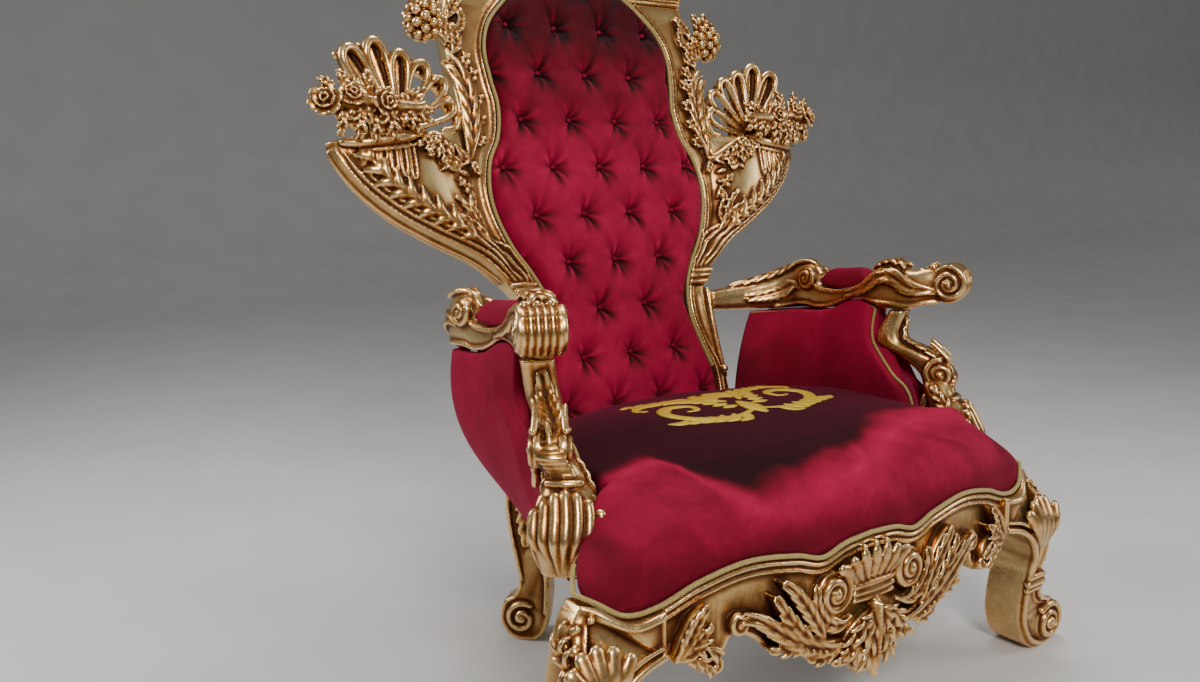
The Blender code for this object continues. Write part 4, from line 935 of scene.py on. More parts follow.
def build_flowers():
    clay = Clay()

    def face(x, h, lift=0.0):
        return on_back(x, h, 0.046 + lift)

    stem = spline([face(0.392, 1.046), face(0.450, 1.044), face(0.520, 1.052), face(0.575, 1.052)], 8)
    tube(clay, stem, (0.010, 0.016, 0.017, 0.012), up=BACK_NORMAL, sides=10, flat=1.5)
    side_way = unit(BACK_NORMAL + np.array((0.55, 0, 0.2)))
    rose(clay, face(0.578, 1.052, 0.006), side_way, 0.029, 0.3)
    rose(clay, face(0.532, 1.062, 0.014), BACK_NORMAL + np.array((0.1, 0, 0.25)), 0.024, 0.9)
    rose(clay, face(0.474, 1.050, 0.016), BACK_NORMAL + np.array((-0.15, 0, -0.1)), 0.026, 0.1)
    small_flower(clay, face(0.500, 1.082, 0.006), BACK_NORMAL, 0.018)
    small_flower(clay, face(0.452, 1.082, 0.004), BACK_NORMAL, 0.016)
    small_flower(clay, face(0.430, 1.058, 0.010), BACK_NORMAL, 0.015)
    small_flower(clay, face(0.508, 1.036, 0.014), BACK_NORMAL, 0.015)
    small_flower(clay, face(0.556, 1.030, 0.008), BACK_NORMAL, 0.013)
    for a, b, width in (((0.430, 1.048), (0.378, 1.040), 0.012), ((0.424, 1.044), (0.384, 1.018), 0.011),
                        ((0.425, 1.056), (0.388, 1.078), 0.011), ((0.505, 1.070), (0.494, 1.108), 0.010),
                        ((0.540, 1.080), (0.548, 1.104), 0.009), ((0.455, 1.035), (0.430, 1.014), 0.010),
                        ((0.490, 1.028), (0.492, 1.006), 0.010), ((0.548, 1.036), (0.556, 1.012), 0.009),
                        ((0.560, 1.074), (0.584, 1.090), 0.008), ((0.470, 1.075), (0.462, 1.108), 0.009)):
        middle = ((a[0] + b[0]) / 2, (a[1] + b[1]) / 2)
        path = spline([face(*a, 0.000), face(*middle, 0.008), face(*b, 0.001)], 8)
        leaf(clay, path, (0.004, width, width * 0.85, 0.002), BACK_NORMAL, 0.006, 3)
    for a, b, width in (((0.520, 1.030), (0.528, 0.990), 0.011), ((0.470, 1.032), (0.462, 0.988), 0.012),
                        ((0.440, 1.036), (0.412, 1.002), 0.011), ((0.550, 1.034), (0.560, 0.996), 0.009),
                        ((0.500, 1.026), (0.496, 0.984), 0.010)):
        middle = ((a[0] + b[0]) / 2, (a[1] + b[1]) / 2)
        path = spline([face(*a, 0.004), face(*middle, 0.010), face(*b, -0.002)], 8)
        leaf(clay, path, (0.006, width, width, 0.004), BACK_NORMAL, 0.008, 3, sink=0.010)
    for a, b, size in ((0.540, 1.022, 0.016), (0.486, 1.016, 0.017), (0.446, 1.022, 0.015)):
        small_flower(clay, face(a, b, 0.010), BACK_NORMAL + np.array((0, 0, -0.3)), size)
    generator = np.random.default_rng(11)
    for _ in range(16):
        x = generator.uniform(0.415, 0.575)
        h = 1.048 + generator.uniform(-0.024, 0.030)
        blob(clay, face(x, h, generator.uniform(0.004, 0.016)), generator.uniform(0.0035, 0.0062), None, 7, 5)
    place_pair("flower_cluster", carve("flower_cluster_right_looks", clay, 22000, 0.0017, 1),
               GILT)


def build_grapes():
    clay = Clay()
    centre = on_back(0.347, 1.226, 0.000)
    grapes(clay, centre, unit(BACK_NORMAL + np.array((0.25, 0, -0.15))), 0.031, 0.0098)
    for a, b, width in (((0.330, 1.256), (0.352, 1.284), 0.012), ((0.322, 1.250), (0.318, 1.282), 0.011),
                        ((0.336, 1.252), (0.372, 1.262), 0.011)):
        middle = ((a[0] + b[0]) / 2, (a[1] + b[1]) / 2)
        path = spline([on_back(*a, 0.006), on_back(*middle, 0.014), on_back(*b, 0.004)], 8)
        leaf(clay, path, (0.004, width, width, 0.003), BACK_NORMAL, 0.007, 3)
    place_pair("grape_cluster", carve("grape_cluster_right_looks", clay, 10000, 0.0017, 1), GILT)


# Crest

CREST_EDGE = ((0.000, 1.000), (0.030, 0.970), (0.058, 0.960), (0.075, 0.850), (0.100, 0.790),
              (0.118, 0.640), (0.150, 0.500), (0.185, 0.520), (0.215, 0.470), (0.245, 0.300),
              (0.275, 0.230), (0.290, 0.160))


def crest_edge(x):
    return WING_TOP + (CREST_TOP - WING_TOP) / math.cos(BACK_LEAN) * curve(CREST_EDGE, np.abs(x))


def build_crest():
    clay = Clay()
    x = np.linspace(-0.290, 0.290, 150)
    low = np.maximum(WING_TOP + GAP, panel_arch(x) + 2 * CORD_RADIUS)
    high = crest_edge(x)
    share = np.linspace(0, 1, 60)
    h = low[:, None] + (high - low)[:, None] * share[None]
    xx = np.broadcast_to(x[:, None], h.shape)
    from_low = h - low[:, None]
    from_high = (high[:, None] - h) / np.sqrt(1 + np.minimum(np.gradient(high, x) ** 2, 9))[:, None]
    lift = 0.0045 * bell(from_low - 0.0055, 0.0032) + 0.0030 * bell(from_low - 0.0135, 0.0028)
    lift = lift + 0.009 * np.clip(1 - ((from_high - 0.009) / 0.011) ** 2, 0, 1) ** 0.5
    lift = lift + 0.006 * np.sin(math.pi * share)[None]
    lift = lift - 0.008 * np.clip(1 - np.minimum(from_low, from_high) / 0.005, 0, 1) ** 2
    front = on_back(xx, h, lift)
    back = np.stack([on_back(x, high - 0.003, -BOARD_THICKNESS * 0.7),
                     on_back(x, low + 0.003, -BOARD_THICKNESS)], 1)
    clay.loft(np.concatenate([front, back], 1))

    def face(a, b, lift=0.0):
        return on_back(a, b, 0.008 + lift)

    for k in range(-3, 4):
        angle = math.radians(90 - 22 * k)
        reach = 0.196 - 0.013 * abs(k) ** 1.6
        share = np.linspace(0.16, 1.0, 12)
        path = face(reach * share * math.cos(angle), 1.395 + reach * share * math.sin(angle), 0.006 * share)
        leaf(clay, path, (0.007, 0.013, 0.019, 0.017, 0.008), BACK_NORMAL, 0.010, 2, 0.010, curl=0.8)
    blob(clay, face(0, 1.395, 0.004), 0.020)
    for side in (-1, 1):
        def half(a, b, c=0.0):
            return face(side * a, b, c)
        volute(clay, (0.225, 1.392), 0.033, 1.4, -1.2, 1, half, 0.008, 0.0045, up=BACK_NORMAL)
        flat = spline([(0.235, 1.362), (0.190, 1.366), (0.140, 1.398), (0.100, 1.410), (0.060, 1.392)], 8)
        leaf(clay, np.array([half(a, b, 0.002) for a, b in flat]), (0.006, 0.014, 0.017, 0.014, 0.005),
             BACK_NORMAL, 0.010, 6)
        flat = spline([(0.200, 1.420), (0.168, 1.430), (0.146, 1.462), (0.120, 1.500)], 8)
        leaf(clay, np.array([half(a, b, 0.002) for a, b in flat]), (0.005, 0.013, 0.014, 0.004),
             BACK_NORMAL, 0.010, 5)
        for i, (a, b) in enumerate(((0.262, 1.330), (0.250, 1.348), (0.150, 1.352), (0.135, 1.362))):
            blob(clay, half(a, b, 0.002), 0.0085 - 0.0008 * i)
    place_piece("crest_rail_looks", carve("crest_rail_looks", clay, 44000), "crest_rail", GILT)


# Front rail

APRON_EDGE = ((0.000, 0.145), (0.020, 0.150), (0.040, 0.168), (0.062, 0.172), (0.085, 0.196),
              (0.118, 0.210), (0.150, 0.238), (0.205, 0.246), (0.245, 0.272), (0.275, 0.282),
              (0.300, 0.240), (0.325, 0.236), (0.350, 0.262), (0.3915, 0.285))


def apron_face(x, z, lift=0.0):
    x, z, lift = np.broadcast_arrays(np.asarray(x, float), z, lift)
    return np.stack([x, seat_front(x) - lift, z], -1)


def build_apron():
    clay = Clay()
    x = np.linspace(-SEAM_HALF_WIDTH + GAP, SEAM_HALF_WIDTH - GAP, 220)
    low = curve(APRON_EDGE, np.abs(x))
    high = cord_line(x) - CORD_RADIUS - CORD_GAP
    share = np.linspace(0, 1, 60)
    z = low[:, None] + (high - low)[:, None] * share[None]
    xx = np.broadcast_to(x[:, None], z.shape)
    from_high = (high[:, None] - z) / np.sqrt(1 + np.minimum(np.gradient(high, x) ** 2, 9))[:, None]
    from_low = (z - low[:, None]) / np.sqrt(1 + np.minimum(np.gradient(low, x) ** 2, 9))[:, None]
    lift = 0.007 * np.clip(1 - ((from_high - 0.005) / 0.0058) ** 2, 0, 1) ** 0.5
    lift = lift + 0.0045 * bell(from_high - 0.0175, 0.0045) - 0.002 * bell(from_high - 0.0115, 0.002)
    lift = lift - 0.003 * np.clip((from_high - 0.02) / 0.01, 0, 1) + 0.004 * bell(from_low - 0.006, 0.006)
    lift = lift - 0.006 * np.clip(1 - np.minimum(from_low, from_high) / 0.004, 0, 1) ** 2
    front = apron_face(xx, z, lift)
    back = np.stack([apron_face(x, high, -RAIL_THICKNESS), apron_face(x, low + 0.004, -RAIL_THICKNESS)], 1)
    clay.loft(np.concatenate([front, back], 1))
    apron_carving(clay)
    place_piece("front_rail_looks", carve("front_rail_looks", clay, 134000), "front_rail", GILT)


def apron_carving(clay):
    """Volutes with a collar, shell, palmette and acanthus sprays."""
    for k in range(-3, 4):
        path = np.array([apron_face(0.012 * k, 0.310, 0.008), apron_face(0.021 * k, 0.335, 0.012),
                         apron_face(0.026 * k, 0.358 - 0.0018 * k * k, 0.013)])
        leaf(clay, spline(path, 6), (0.005, 0.008, 0.0115, 0.009), FORWARD, 0.008, 1, 0.010, curl=-0.2)
    for z, r in ((0.304, 0.0060), (0.293, 0.0070), (0.282, 0.0060)):
        tube(clay, apron_face(np.linspace(-0.046, 0.046, 12), z, 0.010), (0.7 * r, r, r, 0.7 * r))
    for k in range(-3, 4):
        if k == 0:
            continue
        angle = math.radians(-90 + 27 * k)
        reach = 0.112 - 0.010 * abs(k)
        share = np.linspace(0.12, 1.0, 12)
        bend = math.radians(-9 * k) * share
        path = apron_face(reach * share * np.cos(angle + bend), 0.262 + reach * share * np.sin(angle + bend),
                          0.010 + 0.007 * np.sin(math.pi * share))
        leaf(clay, path, (0.005, 0.010, 0.014, 0.015, 0.011), FORWARD, 0.010, 3, 0.012, curl=0.7)
    tongue = apron_face(np.zeros(12), np.linspace(0.272, 0.150, 12),
                        0.014 + 0.004 * np.sin(np.linspace(0, 3, 12)))
    tube(clay, tongue, (0.012, 0.0125, 0.009, 0.007), sides=10)
    for i, z in enumerate(np.linspace(0.270, 0.186, 12)):
        blob(clay, apron_face(0.0, z, 0.026), 0.0046 - 0.0001 * i, None, 8, 5)
    for side in (-1, 1):
        def half(a, b, c=0.0):
            return apron_face(side * a, b, 0.010 + c)

        def line(points, lift=0.0):
            flat = spline(points, 8)
            return np.array([half(a, b, lift) for a, b in flat])

        volute(clay, (0.088, 0.306), 0.034, 1.75, 2.2, 1, half, 0.0078, 0.0050, 0.22, 0.30)
        leaf(clay, line([(0.052, 0.262), (0.082, 0.256), (0.112, 0.268), (0.132, 0.298), (0.130, 0.332)],
                        0.000),
             (0.006, 0.011, 0.012, 0.010, 0.004), FORWARD, 0.009, 5)
        for points, widths, lobes in (
                ([(0.060, 0.222), (0.110, 0.226), (0.160, 0.246), (0.205, 0.276), (0.245, 0.306),
                  (0.276, 0.316)],
                 (0.006, 0.013, 0.015, 0.013, 0.010, 0.006), 7),
                ([(0.108, 0.232), (0.128, 0.262), (0.150, 0.296), (0.176, 0.330), (0.200, 0.352)],
                 (0.005, 0.010, 0.012, 0.010, 0.004), 5),
                ([(0.128, 0.242), (0.158, 0.262), (0.192, 0.300), (0.214, 0.334)],
                 (0.005, 0.010, 0.011, 0.004), 4),
                ([(0.150, 0.244), (0.186, 0.244), (0.224, 0.254)], (0.005, 0.011, 0.009, 0.003), 3),
                ([(0.090, 0.222), (0.120, 0.212), (0.150, 0.222)], (0.005, 0.011, 0.009, 0.003), 3),
                ([(0.045, 0.230), (0.072, 0.206), (0.098, 0.196)], (0.005, 0.010, 0.009, 0.004), 3),
                ([(0.384, 0.276), (0.366, 0.300), (0.350, 0.328), (0.330, 0.350)],
                 (0.005, 0.012, 0.010, 0.004), 5),
                ([(0.380, 0.284), (0.350, 0.300), (0.322, 0.320)], (0.004, 0.009, 0.008, 0.003), 4),
                ([(0.384, 0.276), (0.352, 0.288), (0.326, 0.282), (0.308, 0.262)],
                 (0.005, 0.012, 0.013, 0.007), 3),
                ([(0.372, 0.276), (0.346, 0.270), (0.330, 0.254), (0.322, 0.240)],
                 (0.005, 0.010, 0.010, 0.005), 3)):
            leaf(clay, line(points, 0.001), widths, FORWARD, 0.0105, lobes, 0.012, curl=0.25)
            tube(clay, line(points, 0.008), (0.0022, 0.0036, 0.0032, 0.0016), sides=6)
        volute(clay, (0.270, 0.302), 0.017, 1.35, 1.4, -1, half, 0.0052, 0.0036, up=FORWARD)
        volute(clay, (0.313, 0.250), 0.013, 1.1, 1.2, 1, half, 0.0045, 0.0032, up=FORWARD)
        for i in range(6):
            blob(clay, half(0.104 + 0.013 * i, 0.218 + 0.0045 * i, 0.012), 0.0040, None, 8, 5)
    for x, z in ((0.0, 0.368), (0.026, 0.366), (-0.026, 0.366)):
        blob(clay, apron_face(x, z, 0.012), 0.0058, None, 8, 5)


# Front legs

LEG_SHAPE = ((0.508, 0.376), (0.524, 0.350), (0.538, 0.305), (0.547, 0.255), (0.547, 0.205), (0.534, 0.160),
             (0.548, 0.118), (0.575, 0.103), (0.612, 0.094), (0.645, 0.070), (0.655, 0.038), (0.640, 0.010),
             (0.600, 0.000), (0.566, 0.000), (0.530, 0.020), (0.507, 0.062), (0.497, 0.112), (0.492, 0.152),
             (0.490, 0.180), (0.493, 0.215), (0.474, 0.252), (0.435, 0.276), (0.3925, 0.286))


def leg_front(z):
    t = np.clip((np.asarray(z, float) - 0.05) / 0.22, 0, 1)
    return SHIFT_Y - LEG_FRONT - KNEE_FORWARD * t * t * (3 - 2 * t)


def leg_place(x, z, depth):
    x, z, depth = np.broadcast_arrays(np.asarray(x, float), z, depth)
    pull = np.clip((z - 0.30) / 0.075, 0, None) * np.clip((x - 0.44) / 0.06, 0, None) * 0.040
    pull = np.minimum(pull, 0.040) * (1 - depth / LEG_DEPTH)
    return np.stack([x, leg_front(z) + depth + pull, z], -1)


def inset_rings(outline, place, layers):
    """Rings of a board with a moulded edge. layers give (inset, depth) pairs from front to back."""
    along_way = unit(np.roll(outline, -1, 0) - np.roll(outline, 1, 0))
    inward = np.stack([-along_way[:, 1], along_way[:, 0]], 1)
    area = np.sum(outline[:, 0] * np.roll(outline[:, 1], -1) - np.roll(outline[:, 0], -1) * outline[:, 1])
    if area < 0:
        inward = -inward
    rings = []
    for inset, depth in layers:
        ring = outline + inset * inward
        rings.append(place(ring[:, 0], ring[:, 1], depth))
    return rings


def build_front_legs():
    clay = Clay()
    lower = spline(LEG_SHAPE, 6)
    top_x = np.linspace(SEAM_HALF_WIDTH + GAP, SEAM_HALF_WIDTH + GAP + 0.0975, 24)
    top_z = cord_line(top_x) - CORD_RADIUS - 2 * CORD_GAP
    outline = np.concatenate([lower, np.stack([top_x, top_z], 1)])
    outline[:, 1] = np.maximum(outline[:, 1], 0.0)
    layers = ((0.012, 0.004), (0.008, 0.001), (0.004, 0.0015), (0.0, 0.006), (0.0, LEG_DEPTH * 0.5),
              (0.0, LEG_DEPTH - 0.005), (0.005, LEG_DEPTH))
    clay.loft(inset_rings(outline, leg_place, layers))

    def face(a, b, c=0.0):
        return leg_place(a, b, -c)

    volute(clay, (0.604, 0.049), 0.041, 1.9, 2.4, -1, face, 0.0072, 0.0045, 0.20, 0.26)
    inner = spline([(0.400, 0.290), (0.440, 0.279), (0.476, 0.256), (0.497, 0.220), (0.496, 0.180),
                    (0.500, 0.150), (0.506, 0.110), (0.516, 0.066), (0.540, 0.028), (0.575, 0.010)], 8)
    tube(clay, leg_place(inner[:, 0], inner[:, 1], -0.001), (0.0055, 0.007, 0.006, 0.0055, 0.006))
    inset = spline([(0.404, 0.303), (0.448, 0.292), (0.487, 0.265), (0.509, 0.222), (0.507, 0.182)], 8)
    tube(clay, leg_place(inset[:, 0], inset[:, 1], -0.001), (0.003, 0.0045, 0.0045, 0.003), sides=6)
    outer = spline([(0.540, 0.165), (0.545, 0.130), (0.562, 0.112), (0.590, 0.102)], 8)
    tube(clay, leg_place(outer[:, 0], outer[:, 1], -0.001), (0.004, 0.0055, 0.005))
    for z, r in ((0.172, 0.0065), (0.158, 0.0085), (0.144, 0.0060)):
        tube(clay, leg_place(np.linspace(0.494, 0.540, 10), z, -0.003), (r, r, r))
    for k in range(-2, 3):
        path = leg_place([0.512 + 0.004 * k, 0.508 + 0.014 * k, 0.506 + 0.023 * k],
                         [0.236, 0.278, 0.326 - 0.0045 * k * k], [-0.001, -0.008, -0.004])
        leaf(clay, spline(path, 8), (0.004, 0.008, 0.0125, 0.011), FORWARD, 0.009, 1, 0.012, curl=0.9)
    for k in range(9):
        z = 0.178 + 0.021 * k
        edge = float(curve(((0.16, 0.536), (0.205, 0.547), (0.255, 0.547), (0.305, 0.538), (0.36, 0.520)), z))
        blob(clay, leg_place(edge - 0.002, z, 0.010), 0.0085 + 0.001 * math.sin(2.2 * k), None, 8, 5)
    for points in ([(0.546, 0.170), (0.556, 0.200), (0.548, 0.235)],
                   [(0.548, 0.235), (0.556, 0.270), (0.541, 0.300)],
                   [(0.541, 0.300), (0.545, 0.330), (0.524, 0.352)]):
        flat = spline(points, 8)
        leaf(clay, leg_place(flat[:, 0] - 0.006, flat[:, 1], 0.030), (0.004, 0.013, 0.012, 0.004),
             unit(np.array((1.0, -0.4, 0))), 0.008, 3, 0.010)
    for x, z in ((0.520, 0.350), (0.500, 0.358)):
        blob(clay, leg_place(x, z, 0.0), 0.006, None, 8, 5)
    place_pair("front_leg", carve("front_leg_right_looks", clay, 39000), GILT)


# Back legs

BACK_LEG_SHAPE = ((0.030, 0.3745), (0.040, 0.300), (0.040, 0.250), (0.024, 0.190), (0.018, 0.130),
                  (0.030, 0.098), (0.052, 0.080), (0.060, 0.045), (0.046, 0.014), (0.022, 0.000),
                  (-0.010, 0.000), (-0.034, 0.024), (-0.044, 0.075), (-0.046, 0.130), (-0.040, 0.180),
                  (-0.030, 0.220), (-0.034, 0.270), (-0.050, 0.300), (-0.050, 0.3745))
BACK_LEG_HALF_WIDTH = 0.026


def build_back_legs():
    turn = math.radians(45)

    def place(out, z, depth):
        out, z, depth = np.broadcast_arrays(np.asarray(out, float), z, depth)
        across = depth - BACK_LEG_HALF_WIDTH
        return np.stack([BACK_LEG_X + out * math.cos(turn) - across * math.sin(turn),
                         BACK_LEG_Y + SHIFT_Y + out * math.sin(turn) + across * math.cos(turn), z], -1)

    clay = Clay()
    outline = spline(BACK_LEG_SHAPE, 6)
    outline[:, 1] = np.clip(outline[:, 1], 0.0, 0.3745)
    depth = 2 * BACK_LEG_HALF_WIDTH
    layers = ((0.008, 0.003), (0.003, 0.001), (0.0, 0.005), (0.0, depth / 2), (0.0, depth - 0.005),
              (0.003, depth - 0.001), (0.008, depth - 0.003))
    clay.loft(inset_rings(outline, place, layers))
    outward = np.array((math.sin(turn), -math.cos(turn), 0))
    for at, way, sense in ((0.0, outward, 1), (depth, -outward, -1)):
        def face(a, b, c=0.0):
            return place(a, b, at) + way * c
        volute(clay, (0.014, 0.048), 0.034, 1.5, 2.2, -1, face, 0.0060, 0.004, 0.2, 0.28, up=way)
        for flat in (spline([(0.036, 0.330), (0.036, 0.270), (0.026, 0.200), (0.012, 0.130)], 8),
                     spline([(-0.044, 0.330), (-0.030, 0.270), (-0.030, 0.200), (-0.038, 0.130),
                             (-0.034, 0.060)], 8)):
            tube(clay, np.array([face(a, b, 0.0) for a, b in flat]), (0.003, 0.0045, 0.0045, 0.003), up=way,
                 sides=6)
        leaf(clay, np.array([face(0.0, b, 0.0) for b in np.linspace(0.325, 0.20, 10)]),
             (0.006, 0.017, 0.015, 0.004), way, 0.006, 4)
    place_pair("back_leg", carve("back_leg_right_looks", clay, 12000, 0.0025), GILT)


# Arms

# Share of the way up to the arm's scroll, and a measure of the post there
POST_ACROSS = ((0.0, -0.013), (0.158, -0.010), (0.303, -0.024), (0.405, -0.031), (0.492, -0.019),
               (0.591, -0.041), (0.666, -0.058), (0.840, -0.044))
POST_Y = ((0.0, -0.258), (0.158, -0.268), (0.303, -0.252), (0.405, -0.228), (0.492, -0.214),
          (0.591, -0.180), (0.666, -0.134), (0.840, -0.1415))
POST_WIDTH = ((0.0, 0.036), (0.158, 0.047), (0.303, 0.040), (0.405, 0.028), (0.666, 0.025), (0.840, 0.027))
POST_DEPTH = ((0.0, 0.030), (0.158, 0.036), (0.303, 0.032), (0.405, 0.026), (0.492, 0.034),
              (0.591, 0.034), (0.666, 0.026), (0.840, 0.018))
POST_TURN = ((0.0, 38), (0.405, 38), (0.666, 22), (0.840, 20))
POST_TOP = 0.8395
VOLUTE_SHARE = 0.492


def shifted(points):
    return np.asarray(points, float) + np.array((0, SHIFT_Y, 0))


def post_point(share, across, out):
    """A point of the arm post: across from its middle line and out from it towards its face."""
    share, across, out = np.broadcast_arrays(np.asarray(share, float), across, out)
    turn = np.radians(curve(POST_TURN, share))
    x = ARM_HALF_SPAN + curve(POST_ACROSS, share) + across * np.cos(turn) + out * np.sin(turn)
    y = curve(POST_Y, share) + across * np.sin(turn) - out * np.cos(turn)
    return shifted(np.stack([x, y, POST_FOOT + (ARM_HEIGHT - POST_FOOT) * share], -1))


def post_face(share):
    """The way the post's face looks at a height."""
    turn = math.radians(float(curve(POST_TURN, share)))
    return np.array((math.sin(turn), -math.cos(turn), 0.0)), np.array((math.cos(turn), math.sin(turn), 0.0))


def build_posts():
    clay = Clay()
    share = np.linspace(0, POST_TOP, 110)
    width = curve(POST_WIDTH, share)
    depth = curve(POST_DEPTH, share)
    angle = 2 * math.pi * np.arange(40) / 40
    shape_x = np.sign(np.cos(angle)) * np.abs(np.cos(angle)) ** 0.7
    shape_y = np.sign(np.sin(angle)) * np.abs(np.sin(angle)) ** 0.7
    upper = np.clip((share - 0.60) / 0.06, 0, 1)[:, None]
    groove = 1 - 0.10 * upper * (bell(angle[None] - 1.2, 0.16) + bell(angle[None] - 1.94, 0.16))
    rings = post_point(share[:, None], width[:, None] * shape_x[None] * groove,
                       depth[:, None] * shape_y[None] * groove)
    clay.loft(rings)
    post_shell(clay)
    post_curl(clay)
    post_leaves(clay)
    place_pair("arm_post", carve("arm_post_right_looks", clay, 28000), GILT)


def post_shell(clay):
    """The shell at the foot of a post: fluted lobes that open upward and roll over at the rim."""
    for k in range(-3, 4):
        lean = 0.0155 * k
        rim = 0.335 - 0.0085 * k * k
        drop = 0.0022 * k * k
        path = np.array([post_point(a, b, c) for a, b, c in (
            (0.010, 0.0045 * k, 0.029 - drop), (0.090, 0.0100 * k, 0.036 - drop),
            (0.165, lean, 0.039 - drop), (0.250, lean * 1.03, 0.037 - drop),
            (rim, lean * 0.98, 0.037 - drop), (rim + 0.004, lean * 0.97, 0.028 - drop))])
        tube(clay, spline(path, 5), (0.0052, 0.0064, 0.0080, 0.0088, 0.0090, 0.0050),
             up=post_face(0.16)[0], sides=10)
    for side in (-1, 1):
        edge = np.array([post_point(a, side * b, c) for a, b, c in (
            (0.030, 0.034, 0.010), (0.110, 0.043, 0.008), (0.180, 0.046, 0.006), (0.250, 0.043, 0.006),
            (0.315, 0.036, 0.010))])
        tube(clay, spline(edge, 5), (0.006, 0.008, 0.009, 0.008, 0.006), up=side * post_face(0.16)[1],
             sides=8)
    band = np.array([post_point(0.372, a, 0.030 - 12 * a * a) for a in np.linspace(-0.026, 0.026, 9)])
    tube(clay, band, (0.005, 0.007, 0.005), up=UP, sides=8)


def post_curl(clay):
    """The ribbed curl half way up, with a volute on each side of it."""
    for k in range(11):
        share = 0.400 + 0.0195 * k
        depth = float(curve(POST_DEPTH, share))
        half = 0.016 + 0.004 * math.sin(math.pi * k / 10)
        across = np.linspace(-half, half, 9)
        path = post_point(share, across, depth + 0.0015 - 12 * across ** 2)
        tube(clay, path, (0.0034, 0.0046, 0.0034), up=post_face(share)[0], sides=6)
    across_way = post_face(VOLUTE_SHARE)[1]
    for side in (-1, 1):
        def at(out, rise, lift=0.0):
            return post_point(VOLUTE_SHARE, side * (0.0255 + lift), out) + UP * rise
        volute(clay, (0.005, 0.001), 0.0285, 1.9, 1.5, 1, at, 0.0062, 0.0040, 0.16, 0.26,
               up=side * across_way)
        sweep = [at(0.022, 0.030, -0.002), at(0.006, 0.046, -0.004), at(-0.012, 0.062, -0.003)]
        tube(clay, spline(sweep, 6), (0.0055, 0.0060, 0.0040), up=side * across_way, sides=8)
        below = [at(-0.004, -0.030, 0.000), at(-0.018, -0.042, -0.002), at(-0.024, -0.062, -0.001)]
        tube(clay, spline(below, 6), (0.0050, 0.0060, 0.0060), up=side * across_way, sides=8)


def post_leaves(clay):
    """Leaves above the curl and on the flanks of the post."""
    share = np.linspace(0.505, 0.800, 16)
    front = post_point(share, 0.0, curve(POST_DEPTH, share) * 0.92)
    leaf(clay, front, (0.016, 0.020, 0.018, 0.012, 0.005), post_face(0.6)[0], 0.008, 6, sink=0.008)
    for side in (-1, 1):
        way = side * post_face(0.3)[1]
        flank = np.array([post_point(a, side * b, c) for a, b, c in (
            (0.600, 0.021, 0.004), (0.660, 0.022, 0.002), (0.730, 0.022, 0.000), (0.800, 0.023, 0.000))])
        tube(clay, spline(flank, 6), (0.0035, 0.0050, 0.0050, 0.0035), up=way, sides=8)
        lower = np.array([post_point(a, side * b, c) for a, b, c in (
            (0.300, 0.036, -0.004), (0.350, 0.030, -0.004), (0.400, 0.026, -0.006), (0.440, 0.025, -0.010))])
        leaf(clay, spline(lower, 6), (0.010, 0.012, 0.009, 0.004), way, 0.006, 3, sink=0.008)


# Share of the way out to the scroll, depth, top and underside against the scroll's middle
ARM_PATH = ((0.000, 0.214, -0.034, -0.076), (0.168, 0.207, -0.030, -0.078), (0.420, 0.188, -0.022, -0.079),
            (0.620, 0.158, -0.006, -0.078), (0.735, 0.125, 0.014, -0.075), (0.762, 0.098, 0.022, -0.072),
            (0.762, 0.065, 0.018, -0.070), (0.757, 0.045, -0.012, -0.069), (0.750, 0.000, -0.022, -0.060),
            (0.750, -0.045, -0.017, -0.040), (0.758, -0.080, 0.002, -0.040), (0.768, -0.105, 0.030, -0.052),
            (0.790, -0.140, 0.038, -0.054), (0.822, -0.165, 0.025, -0.052), (0.880, -0.187, 0.030, -0.041),
            (0.945, -0.206, 0.034, -0.036))


def arm_line(y):
    """The arm at a depth: x of its middle, and the heights of its top and underside."""
    rows = ARM_PATH[::-1]
    share, top, under = (curve([(row[1], row[k]) for row in rows], y) for k in (0, 2, 3))
    return ARM_BACK_X + (ARM_HALF_SPAN - ARM_BACK_X) * share, ARM_HEIGHT + top, ARM_HEIGHT + under


def arm_point(y, side, level, lift=0.0):
    """A point on an arm's flank, level running from its underside (-1) to its top (1)."""
    x, top, under = arm_line(y)
    step = 0.002
    slope = (arm_line(y + step)[0] - arm_line(y - step)[0]) / (2 * step)
    way = np.stack([1 / np.sqrt(1 + slope ** 2), -slope / np.sqrt(1 + slope ** 2), 0 * slope], -1)
    middle = np.stack([x, np.asarray(y, float), (top + under) / 2 + level * (top - under) / 2], -1)
    reach = np.asarray(side * (ARM_HALF_WIDTH * (1 - 0.25 * level ** 2) + lift))
    return shifted(middle + way * reach[..., None])


def scroll_point(across, ahead, rise):
    """A point of the rolled front of the arm, in the scroll's own directions."""
    across, ahead, rise = np.broadcast_arrays(np.asarray(across, float), ahead, rise)
    x = ARM_HALF_SPAN + across * math.cos(SCROLL_TURN) + ahead * math.sin(SCROLL_TURN)
    y = SCROLL_DEPTH + across * math.sin(SCROLL_TURN) - ahead * math.cos(SCROLL_TURN)
    return shifted(np.stack([x, y, ARM_HEIGHT + rise], -1))


SCROLL_AXIS = np.array((math.cos(SCROLL_TURN), math.sin(SCROLL_TURN), 0.0))


